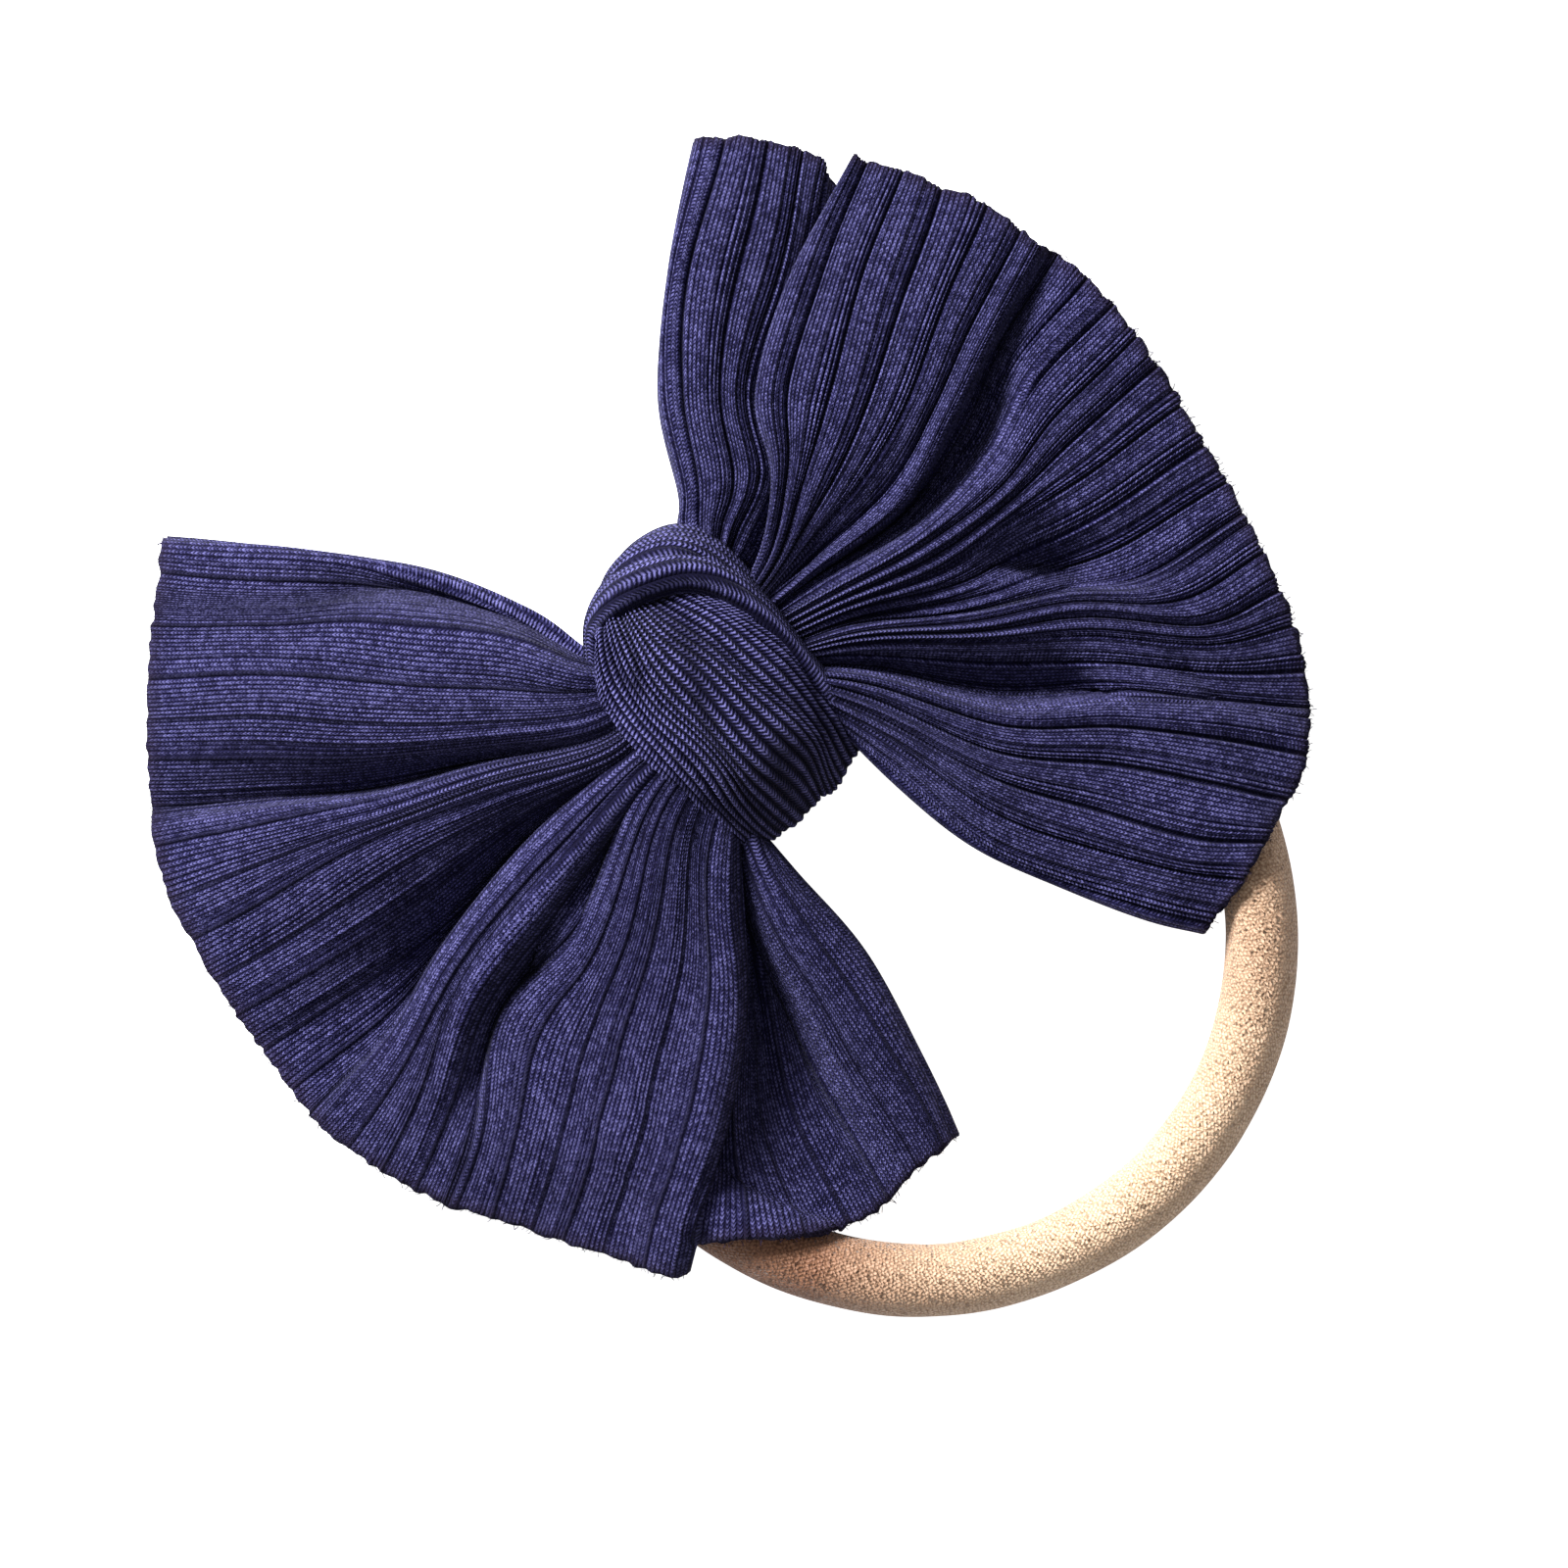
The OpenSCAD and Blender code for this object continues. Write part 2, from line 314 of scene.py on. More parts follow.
def nylonMaterial(look):
    n = Nodes("nylonBand")
    uv = n.node("ShaderNodeUVMap", uv_map="cloth").outputs[0]
    where = n.node("ShaderNodeTexCoord").outputs["Object"]
    drift = n.noise(where, look["driftScale"], 2.0)
    split = n.node("ShaderNodeSeparateXYZ")
    n.put(split.inputs[0], uv)
    shift = n.math("MULTIPLY", n.math("SUBTRACT", drift, 0.5), look["drift"])
    along = n.math("ADD", n.math("DIVIDE", split.outputs[1], look["rib"]), shift)
    around = n.math("MULTIPLY_ADD", shift, 0.8, n.math("DIVIDE", split.outputs[0], look["stitch"]))
    row = n.math("FLOOR", along)
    stagger = n.math("MULTIPLY_ADD", row, look["stagger"], around)
    rowRound = n.math("SINE", n.math("MULTIPLY", n.math("FRACT", along), math.pi))
    stitchRound = n.math("SINE", n.math("MULTIPLY", n.math("FRACT", stagger), math.pi))
    pebble = n.math("POWER", n.math("MULTIPLY", rowRound, stitchRound), 0.7)
    grain = n.noise(where, look["grainScale"], 2.0)
    patch = n.noise(where, look["patchScale"], 2.0)
    tone = n.math("ADD", n.math("MULTIPLY", pebble, 0.55), n.math("MULTIPLY", grain, 0.65))
    tone = n.math("ADD", tone, n.math("MULTIPLY", n.math("SUBTRACT", patch, 0.5), 0.25))
    # painted shade and highlight: the pebbles' hollows go towards deep and their tops towards lit; grain
    # and patch are the yarn's own uneven tone
    low = n.mix(n.span(tone, *look["darkSpan"]), look["deep"], look["yarn"])
    clean = n.mix(n.span(tone, *look["lightSpan"]), low, look["lit"])
    # painted shadow: the band's colour is darkened towards the knot
    bowShadow = n.node("ShaderNodeMix", data_type="RGBA", blend_type="MULTIPLY")
    n.put(bowShadow.inputs[0], n.attribute("bowShadow"))
    n.put(bowShadow.inputs[6], clean)
    n.put(bowShadow.inputs[7], look["bowShadow"])
    n.put(n.shader.inputs["Base Color"], bowShadow.outputs[2])
    n.shader.inputs["Roughness"].default_value = look["roughness"]
    n.shader.inputs["Sheen Weight"].default_value = look["sheen"]
    n.shader.inputs["Sheen Roughness"].default_value = 0.4
    n.shader.inputs["Subsurface Weight"].default_value = 0.06
    n.shader.inputs["Subsurface Radius"].default_value = (0.0015, 0.0008, 0.0005)
    grained = n.bump(grain, look["depth"] * 0.5, 0.7)
    n.put(n.shader.inputs["Normal"], n.bump(pebble, look["depth"], 1.0, grained))
    return n.mat


bandShape = {
    "radius": 4.15,        # mm, of the band itself
    "waistRadius": 3.85,   # mm, inside the knot
    "loop": 39.0,          # mm, of its middle line
    "centre": (2.0, -36.0),
    "easing": 14,          # rounds of smoothing where the waist meets the loop
    "height": 6.0,         # mm, of its middle line in the knot
    "sink": 1.41,          # degrees, so that the far end rests on the table
    "steps": 420,
    "sides": 56,
    "uneven": 0.16,        # mm
    "shadowSpan": (-74.0, -60.0),   # y in mm between which the painted shadow of the bow darkens the band
    "shadowLeft": 1.0,
    "shadowRight": 0.45,
}


def bandHeight(y):
    return bandShape["height"] + y * math.tan(math.radians(bandShape["sink"]))


# Middle line of the band, as points in mm: a round loop with a straight waist in the knot
def bandPath(opts):
    cx, cy = opts["centre"]
    halfGap = math.acos(-cy / opts["loop"])
    loopLength = opts["loop"] * (2 * math.pi - 2 * halfGap)
    waist = 2 * opts["loop"] * math.sin(halfGap)
    points = []
    for i in range(opts["steps"]):
        s = (loopLength + waist) * i / opts["steps"]
        if s < loopLength:
            angle = math.pi / 2 + halfGap + s / opts["loop"]
            points.append((cx + opts["loop"] * math.cos(angle), cy + opts["loop"] * math.sin(angle)))
        else:
            points.append((cx + waist / 2 - (s - loopLength), 0.0))
    pts = np.array(points)
    for _ in range(opts["easing"]):
        pts = 0.5 * pts + 0.25 * (np.roll(pts, 1, 0) + np.roll(pts, -1, 0))
    return np.column_stack([pts, [bandHeight(y) for y in pts[:, 1]]]), loopLength + waist


def makeBand(opts, mat):
    path, length = bandPath(opts)
    steps = opts["steps"]
    sides = opts["sides"]
    ahead = np.roll(path, -1, 0) - np.roll(path, 1, 0)
    ahead /= np.linalg.norm(ahead, axis=1)[:, None]
    up = np.array([0.0, 0.0, 1.0])
    side = np.cross(ahead, up)
    side /= np.linalg.norm(side, axis=1)[:, None]
    top = np.cross(side, ahead)
    verts = []
    for i in range(steps):
        squeezed = max(0.0, 1 - max(0.0, abs(path[i][0]) - 8.0) / 6.0) if path[i][1] > -6 else 0.0
        r = opts["radius"] + (opts["waistRadius"] - opts["radius"]) * squeezed
        for j in range(sides):
            a = 2 * math.pi * j / sides
            d = side[i] * math.cos(a) + top[i] * math.sin(a)
            p = path[i] + d * r
            p = p + d * opts["uneven"] * noise.noise(Vector(p * 0.13)) * (1 - squeezed)
            p[2] = max(p[2], 0.02)
            verts.append(p * mm)
    faces = []
    for i in range(steps):
        for j in range(sides):
            here = i * sides
            there = ((i + 1) % steps) * sides
            beside = (j + 1) % sides
            faces.append((here + j, here + beside, there + beside, there + j))
    data = bpy.data.meshes.new("bandCloth")
    data.from_pydata(verts, [], faces)
    layer = data.uv_layers.new(name="cloth")
    girth = 2 * math.pi * opts["radius"]
    corners = []
    for i in range(steps):
        for j in range(sides):
            for di, dj in ((0, 0), (0, 1), (1, 1), (1, 0)):
                corners += [girth * (j + dj) / sides, length * (i + di) / steps]
    layer.data.foreach_set("uv", corners)
    # painted shadow of the bow: darker towards the knot, more on the left than on the right
    bowShadow = data.attributes.new("bowShadow", "FLOAT", "POINT")
    low, high = opts["shadowSpan"]
    amounts = []
    for x, y, z in path:
        side = opts["shadowLeft"] if x < opts["centre"][0] else opts["shadowRight"]
        amounts += [side * min(1.0, max(0.0, (y - low) / (high - low)))] * sides
    bowShadow.data.foreach_set("value", amounts)
    return finishMesh("nylon_band_tube", data, mat)


def finishMesh(name, data, mat):
    data.validate()
    for face in data.polygons:
        face.use_smooth = True
    data.materials.append(mat)
    piece = bpy.data.objects.new(name, data)
    scene.collection.objects.link(piece)
    return piece


# Where a rib's columns of points stand, and how high each is: a dropped stitch, a bright
# raised wale beside it, an open stretch, then three fine lines.
ribProfile = [
    (0.00, -1.00), (0.04, -0.90), (0.075, -0.10), (0.105, 0.34), (0.14, 0.26), (0.20, 0.04),
    (0.30, 0.10), (0.42, 0.13), (0.54, 0.12), (0.63, 0.12), (0.665, -0.62), (0.70, 0.16),
    (0.765, 0.14), (0.795, -0.52), (0.825, 0.16), (0.875, 0.16), (0.905, -0.58), (0.94, 0.24),
    (0.972, -0.35),
]

# In the knot three rounded wales stand between two dropped stitches
walesProfile = [
    (0.00, -1.00), (0.045, -0.62), (0.10, 0.12), (0.167, 0.40), (0.235, 0.12), (0.29, -0.30),
    (0.333, -0.52), (0.38, -0.28), (0.44, 0.20), (0.50, 0.44), (0.56, 0.20), (0.62, -0.28),
    (0.667, -0.52), (0.71, -0.30), (0.765, 0.12), (0.833, 0.40), (0.90, 0.12), (0.955, -0.62),
]

clothSettings = {
    "thickness": 0.95,     # mm
    "ribPitch": 4.9,       # mm, where the cloth lies open
    "grooveDepth": 0.72,   # mm
    "flutter": 0.55,       # mm, slow unevenness of the cloth
    "overBand": 0.35,      # mm between the cloth and the band
    "climb": 2.0,          # mm, how softly the cloth starts to climb over the band
    "gathered": 0.8,       # mm that a rib takes where it is fully gathered
    "opening": 2.6,        # mm more, where it lies open
    "table": 0.05,         # mm, the lowest that cloth may lie
    "jag": 0.40,           # mm, unevenness of a cut edge
    "rimFrom": 0.965,      # where along a tail the painted shade at the cut edge starts
    "calmRun": 0.07,       # share of the length over which the ribs flatten towards an end
    "evenShare": 0.35,     # how far the rows of stitches are levelled across a sheet
}


# Smooth curve through points (n, ..., 3) at the given knots, read at the wanted places
def splineAt(points, knots, wanted):
    points, knots, wanted = (np.asarray(v, float) for v in (points, knots, wanted))
    slopes = np.zeros_like(points)
    gaps = np.diff(knots)
    steps = np.diff(points, axis=0) / gaps.reshape((-1,) + (1,) * (points.ndim - 1))
    slopes[0], slopes[-1] = steps[0], steps[-1]
    w = (gaps[1:] / (gaps[:-1] + gaps[1:])).reshape((-1,) + (1,) * (points.ndim - 1))
    slopes[1:-1] = steps[:-1] * w + steps[1:] * (1 - w)
    at = np.clip(np.searchsorted(knots, wanted, side="right") - 1, 0, len(knots) - 2)
    t = ((wanted - knots[at]) / gaps[at]).reshape((-1,) + (1,) * (points.ndim - 1))
    g = gaps[at].reshape(t.shape)
    a, b, ma, mb = points[at], points[at + 1], slopes[at] * g, slopes[at + 1] * g
    return (a * (2 * t**3 - 3 * t**2 + 1) + ma * (t**3 - 2 * t**2 + t)
            + b * (3 * t**2 - 2 * t**3) + mb * (t**3 - t**2))


# A guide's points made into rows evenly spaced points
def evenLine(points, rows):
    fine = splineAt(points, np.arange(len(points)), np.linspace(0, len(points) - 1, 200))
    run = np.concatenate([[0], np.cumsum(np.linalg.norm(np.diff(fine, axis=0), axis=1))])
    wanted = np.linspace(0, run[-1], rows)
    return np.column_stack([np.interp(wanted, run, fine[:, k]) for k in range(3)])


# Height of the band's upper side at points of the plan, or a low number away from it
def bandTop(x, y):
    cx, cy = bandShape["centre"]
    loopAway = np.abs(np.hypot(x - cx, y - cy) - bandShape["loop"])
    waistAway = np.where(np.abs(x - cx) < 17, np.abs(y), 99.0)
    away = np.where(y > -5.5, np.minimum(loopAway, waistAway), loopAway)
    r = bandShape["radius"]
    rise = np.sqrt(np.clip(r * r - away**2, 0, None))
    middle = bandShape["height"] + y * math.tan(math.radians(bandShape["sink"]))
    return np.where(away < r, middle + rise, middle - 2.0 * (away - r) ** 1.2)


def smoothMax(a, b, soft):
    h = np.clip(0.5 + 0.5 * (a - b) / soft, 0, 1)
    return b + (a - b) * h + soft * h * (1 - h)


def gridNormals(p):
    du = np.gradient(p, axis=1)
    dv = np.gradient(p, axis=0)
    n = np.cross(du, dv)
    return n / np.maximum(np.linalg.norm(n, axis=2), 1e-9)[:, :, None]


# Rib coordinates of the columns from one rib to another, and the profile's height at each
def ribColumns(first, last, profile):
    places, heights = [], []
    for rib in range(math.floor(first) - 1, math.ceil(last) + 1):
        for f, h in profile:
            if first <= rib + f <= last:
                places.append(rib + f)
                heights.append(h)
    return np.array(places), np.array(heights)


def wobble(p, scale, seed):
    shape = p.shape[:2]
    flat = p.reshape(-1, 3)
    return np.array([noise.noise(Vector((q[0] * scale + seed, q[1] * scale, q[2] * scale)))
                     for q in flat]).reshape(shape)


rims = {}   # for each sheet, the points along its cut edge in mm, and the way out at each


# The columns of points between the guide lines, each straying a little to its sides
def wander(lines, ribs, places, opts):
    fine = np.linspace(ribs[0], ribs[-1], 600)
    surface = splineAt(lines, ribs, fine)                        # fine, rows, xyz
    rows = opts["rows"]
    out = np.zeros((rows, len(places), 3))
    v = np.linspace(0, 1, rows)
    rate = opts.get("wanderRate", 2.5)
    starts = [Vector((place * 0.55 + opts["seed"], 0, 0)) for place in places]
    edge = np.clip(np.minimum(places - ribs[0], ribs[-1] - places), 0, 1)   # the edges stay put
    for r in range(rows):
        amount = min(1.0, 4 * v[r]) * opts.get("wander", 0.10)
        shift = np.array([noise.noise(start + Vector((0, v[r] * rate, 0))) for start in starts])
        wanted = np.clip(places + shift * amount * edge * 2, ribs[0], ribs[-1])
        for k in range(3):
            out[r, :, k] = np.interp(wanted, fine, surface[:, r, k])
    return out


# The wales of the knot stand in bundles: how dark the painted shade in the creases between them is,
# and how far each bundle rises
def waleBundles(places, v, opts):
    near = np.zeros((len(v), len(places)))
    for r, row in enumerate(v[:, 0]):
        for c, place in enumerate(places):
            turn = place * knotSettings["bundleRate"] + row * knotSettings["bundleLean"] + opts["seed"]
            near[r, c] = abs(noise.noise(Vector((turn, row * knotSettings["bundleDrift"], 0))))
    creaseShade = np.clip(1 - near * knotSettings["creaseSharp"], 0, 1) * opts["creaseShading"]
    lift = (np.clip(near * knotSettings["bundleRound"], 0, 1) - 0.6) * opts["bundle"]
    return creaseShade, lift


# Where each point lies on the cloth, in mm across and along it
def clothPlaces(base, places, opts):
    rows, columns = base.shape[:2]
    run = np.linalg.norm(np.diff(base, axis=0), axis=2)
    along = np.concatenate([np.zeros((1, columns)), np.cumsum(run, axis=0)])
    share = clothSettings["evenShare"]
    along = along.mean(axis=1)[:, None] * share + along * (1 - share)
    if opts.get("knotted"):
        across = places * knotSettings["clothPerRib"]
        along = along * knotSettings["stitchScale"]
    else:   # the stitches keep their size on the flanks of the folds
        spread = np.percentile(np.linalg.norm(np.diff(base, axis=1), axis=2), 70, axis=0)
        spread = np.maximum(spread, np.diff(places) * clothSettings["ribPitch"])
        across = np.concatenate([[0], np.cumsum(spread)])
    return np.stack([np.broadcast_to(across, (rows, columns)), along], axis=2).reshape(-1, 2)


# Faces of a sheet's upper side, underside and four edges
def sheetFaces(rows, columns, turned):
    top = np.arange(rows * columns).reshape(rows, columns)
    low = top + rows * columns
    strips = (
        (top[:-1, :-1], top[:-1, 1:], top[1:, 1:], top[1:, :-1]),
        (low[:-1, :-1], low[1:, :-1], low[1:, 1:], low[:-1, 1:]),
        (top[:-1, 0], top[1:, 0], low[1:, 0], low[:-1, 0]),
        (top[:-1, -1], low[:-1, -1], low[1:, -1], top[1:, -1]),
        (top[0, :-1], low[0, :-1], low[0, 1:], top[0, 1:]),
        (top[-1, :-1], top[-1, 1:], low[-1, 1:], low[-1, :-1]),
    )
    faces = np.concatenate([np.stack([part.ravel() for part in strip], axis=1) for strip in strips])
    return faces[:, ::-1] if turned else faces


# Cloth through guide lines. Each guide is (rib number, points in mm from the knot out)
def ribbedSheet(name, mat, guides, opts):
    rows = opts["rows"]
    knotted = opts.get("knotted", False)
    cut = opts.get("rim", True)
    flip = -1.0 if opts.get("flip") else 1.0
    ribs = [guide[0] for guide in guides]
    lines = np.array([evenLine(np.array(guide[1], float), rows) for guide in guides])
    if knotted:
        gaps = np.percentile(np.linalg.norm(np.diff(lines, axis=0), axis=2), 80, axis=1)
        ribs = np.concatenate([[0], np.cumsum(gaps)]) / opts["ribWidth"]
    places, heights = ribColumns(ribs[0], ribs[-1], walesProfile if knotted else ribProfile)
    base = wander(lines, ribs, places, opts)                     # rows, columns, xyz
    v = np.linspace(0, 1, rows)[:, None]

    # the lie of the cloth
    if opts.get("overBand"):
        floor = bandTop(base[:, :, 0], base[:, :, 1]) + clothSettings["thickness"]
        floor = floor + clothSettings["overBand"] + opts["overBand"]
        base[:, :, 2] = smoothMax(base[:, :, 2], floor, clothSettings["climb"])
    flutter = clothSettings["flutter"] * opts.get("flutter", 1.0)
    base[:, :, 2] += wobble(base, 0.11, opts["seed"]) * flutter
    normals = gridNormals(base) * flip
    creaseShade = np.zeros(base.shape[:2])
    if knotted:
        creaseShade, lift = waleBundles(places, v, opts)
        base = base + normals * lift[:, :, None]

    # the ribs: flat ones where the cloth lies open, round cords where it is gathered
    pitch = np.linalg.norm(np.gradient(base, axis=1), axis=2) / np.gradient(places)[None, :]
    openness = np.ones_like(pitch)
    if not knotted:
        openness = np.clip((pitch - clothSettings["gathered"]) / clothSettings["opening"], 0, 1)
    cord = 0.5 - 0.5 * np.cos(2 * np.pi * (places - np.floor(places)))[None, :]
    flatRib = heights[None, :] * clothSettings["grooveDepth"] * opts.get("depth", 1.0)
    roundRib = (cord - 0.75) * np.clip(pitch * 0.55, 0.25, 0.9)
    rise = flatRib * openness + (roundRib + 0.35 * flatRib) * (1 - openness)
    calm = np.clip((v - opts.get("calmFrom", 0.93)) / clothSettings["calmRun"], 0, 1)
    rise = rise * (1 - opts.get("calmEnd", 0.45) * calm)
    top = base + normals * rise[:, :, None]
    if cut:
        jag = wobble(base[-3:], 0.9, opts["seed"] + 7)[-1] * clothSettings["jag"]
        jag = jag - np.clip(-heights, 0, 1) * 0.05
        out = base[-1] - base[-2]
        out /= np.linalg.norm(out, axis=1)[:, None]
        top[-1] += out * jag[:, None]
        base[-1] += out * jag[:, None]
    wall = clothSettings["thickness"] * opts.get("wall", 1.0)
    under = base - normals * (wall - 0.3 * rise[:, :, None])
    if opts.get("floor", True):
        table = clothSettings["table"]
        under[:, :, 2] = np.maximum(under[:, :, 2], table)
        top[:, :, 2] = np.maximum(top[:, :, 2], table + 0.6 * wall)

    # the mesh, with its stitches laid out on it
    columns = len(places)
    verts = np.concatenate([top.reshape(-1, 3), under.reshape(-1, 3)]) * mm
    faces = sheetFaces(rows, columns, flip < 0)
    data = bpy.data.meshes.new(name)
    data.from_pydata(verts.tolist(), [], faces.tolist())
    uvs = clothPlaces(base, places, opts)
    uvs = np.concatenate([uvs, uvs + wall])   # so that the stitches also run across the edges
    layer = data.uv_layers.new(name="cloth")
    layer.data.foreach_set("uv", uvs[faces.ravel()].astype(np.float32).ravel())
    # painted shade in the dropped stitches, the hollows of gathered cords and the knot's creases
    grooveShading = np.clip(-heights, 0, 1)[None, :] * np.ones((rows, 1))
    grooveShading = grooveShading * openness + (1 - cord) * 0.8 * (1 - openness)
    if knotted:
        grooveShading = np.maximum(np.clip(grooveShading * knotSettings["grooveShade"], 0, 1), creaseShade)
    rimFrom = clothSettings["rimFrom"]
    shades = {
        "grooveShading": grooveShading,
        "tight": 1 - openness,
        "rim": np.clip((v - rimFrom) / (1 - rimFrom), 0, 1) * np.ones((1, columns)) * float(cut),
        "bold": np.ones_like(pitch) if knotted else 1 - openness,
    }
    for key, values in shades.items():
        attribute = data.attributes.new(key, "FLOAT", "POINT")
        both = np.concatenate([values.ravel(), values.ravel()]).astype(np.float32)
        attribute.data.foreach_set("value", both)
    piece = finishMesh(name, data, mat)
    outward = base[-1] - base[-2]
    outward /= np.linalg.norm(outward, axis=1)[:, None]
    rims[name] = ((top[-1] + under[-1]) / 2, outward)
    area = sum(p.area for p in data.polygons) / 2
    print(f"{name}: {len(faces) * 2} triangles, {area * 1e4:.1f} square cm of cloth")
    return piece


# Left tail: from its upper edge to the fold at its lower edge
leftTailGuides = [
    (0.0, [(-9, 8.5, 6), (-11.6, 12, 6), (-14.2, 19, 5), (-21, 29.2, 4.8), (-31.5, 39, 4.6),
         (-43.5, 49.3, 3.6)]),
    (0.45, [(-9, 8.2, 8.6), (-11.5, 12.4, 8.4), (-14.2, 19.5, 8), (-21.2, 29.5, 7),
         (-31.8, 39.6, 7.2), (-44, 49.2, 5.2)]),
    (1.2, [(-9, 7.8, 7), (-12, 11.8, 5), (-15.4, 19.6, 3.6), (-23.4, 28.7, 5.6), (-34.8, 36.8, 8.8),
         (-46, 46.3, 6)]),
    (2.0, [(-9, 7.2, 12.6), (-12.9, 11, 13.8), (-18, 19, 13.2), (-27, 27, 12), (-38.5, 34, 9.8),
         (-49.5, 42.5, 6.5)]),
    (3.0, [(-9, 6.3, 12.6), (-14.2, 8.6, 14.6), (-22.5, 15, 13.8), (-32.5, 22.8, 12.5),
         (-43, 31, 10.5), (-53, 38, 7)]),
    (4.0, [(-9, 5.3, 13), (-15, 6.6, 15), (-25, 12.3, 14.4), (-35, 19.2, 13), (-45.5, 27.3, 10.8),
         (-55.7, 34, 7)]),
    (5.0, [(-9, 4.5, 13), (-15.4, 4.9, 14.8), (-26.5, 10.8, 13.6), (-38, 17.3, 11.8),
         (-48.5, 24.3, 9.6), (-58.4, 30.3, 6.6)]),
    (6.2, [(-9, 3.6, 12), (-15.5, 3.1, 12.9), (-27.3, 8.2, 8), (-39.5, 12.7, 5.4), (-50.3, 19, 5.6),
         (-61.5, 25.6, 5.2)]),
    (7.7, [(-9, 3.2, 12.5), (-15.5, 2.5, 13.9), (-27.4, 7.1, 12.8), (-39.8, 11.2, 12),
         (-51.2, 16.9, 10.6), (-63, 22.6, 7)]),
    (9.0, [(-9, 2.4, 12.5), (-15.5, 1.7, 14.6), (-27.5, 6.1, 13.6), (-40, 9.3, 12.8),
         (-52, 12.8, 11), (-65.2, 15.8, 7.4)]),
    (10.0, [(-9, 1.8, 12.5), (-15.5, 1.3, 14.6), (-27.5, 5.2, 13.4), (-40, 8, 12.4),
         (-52, 9.4, 10.8), (-65.9, 10.7, 7.4)]),
    (11.0, [(-9, 1.1, 12.5), (-15.5, 0.8, 14.3), (-27.5, 3.2, 12.6), (-40, 4.4, 11.4),
         (-52, 5, 10.2), (-66.4, 5.6, 7.2)]),
    (12.0, [(-9, 0.5, 12.5), (-15.5, 0.3, 13.4), (-27.5, 1, 10.4), (-40, 0.6, 9), (-52, 0.3, 8.6),
         (-66.7, 0.5, 6.8)]),
    (13.0, [(-9, 0, 12), (-15.5, -0.3, 12), (-27.8, -0.9, 6.5), (-40.5, -3.2, 4.4),
         (-52.5, -4.2, 6), (-66.8, -4.5, 6)]),
    (14.6, [(-9, -0.5, 12), (-15.5, -0.9, 11.6), (-28, -2.3, 5.6), (-41.5, -6.1, 3.4),
         (-53.3, -10.8, 5), (-66.4, -12.8, 6)]),
    (16.2, [(-9, -1, 13), (-15.5, -1.5, 14.4), (-28.8, -3.3, 13), (-42.4, -7.4, 11.6),
         (-54, -12.7, 9.4), (-65.9, -15.4, 7)]),
    (17.5, [(-9, -1.8, 13), (-15.5, -2.7, 14.8), (-29.3, -5.9, 13.6), (-43, -10.4, 12),
         (-54.5, -16.5, 9.6), (-64.2, -20.4, 7)]),
    (19.0, [(-9, -2.6, 12.5), (-15.5, -4.1, 14.2), (-29.8, -9.1, 12.6), (-43, -14, 11.4),
         (-53.3, -22, 9), (-61.2, -27, 6.8)]),
    (19.6, [(-9, -3, 11.5), (-15.8, -4.9, 11), (-30.2, -11.9, 5), (-42.2, -16, 7), (-52, -24, 8.8),
         (-59.8, -29.4, 6.8)]),
    (21.2, [(-9, -3.5, 12.5), (-16, -5.7, 14.6), (-29.5, -14.5, 12.4), (-41, -17.6, 11),
         (-50.6, -26.3, 9.6), (-58.3, -31.7, 7)]),
    (22.5, [(-9, -4.7, 13), (-15.5, -7.6, 15), (-27, -16.8, 13.8), (-36.5, -22.8, 12.4),
         (-45.2, -29.7, 10.6), (-54.2, -36.5, 7)]),
    (24.0, [(-8.5, -6.5, 12.6), (-14.4, -9.9, 14.8), (-24.2, -19.6, 13.8), (-33.5, -27.2, 12.6),
         (-42, -34.5, 10.8), (-50.5, -41.6, 7.4)]),
    (25.5, [(-8, -9, 12), (-12.9, -13, 13.6), (-21.2, -25, 13.2), (-30, -33, 12.4),
         (-38, -40.3, 11.2), (-45.7, -47.6, 8)]),
    (26.7, [(-7.5, -11, 11), (-11.6, -17, 12.6), (-19.3, -29.6, 12.8), (-27.8, -38.4, 12.4),
         (-36, -45.6, 11.4), (-42.6, -51.5, 8.4)]),
    (27.2, [(-7.5, -11.5, 9.5), (-11, -17.8, 10.6), (-18.8, -30.2, 11), (-27.2, -39.2, 10.8),
         (-35.2, -46.3, 10), (-41.5, -51.9, 7)]),
    (27.8, [(-8, -11, 8), (-11.8, -16.6, 9), (-19.8, -29, 9.2), (-28.2, -37.8, 9.2),
         (-36.2, -44.9, 8.6), (-42.3, -51, 5.6)]),
]

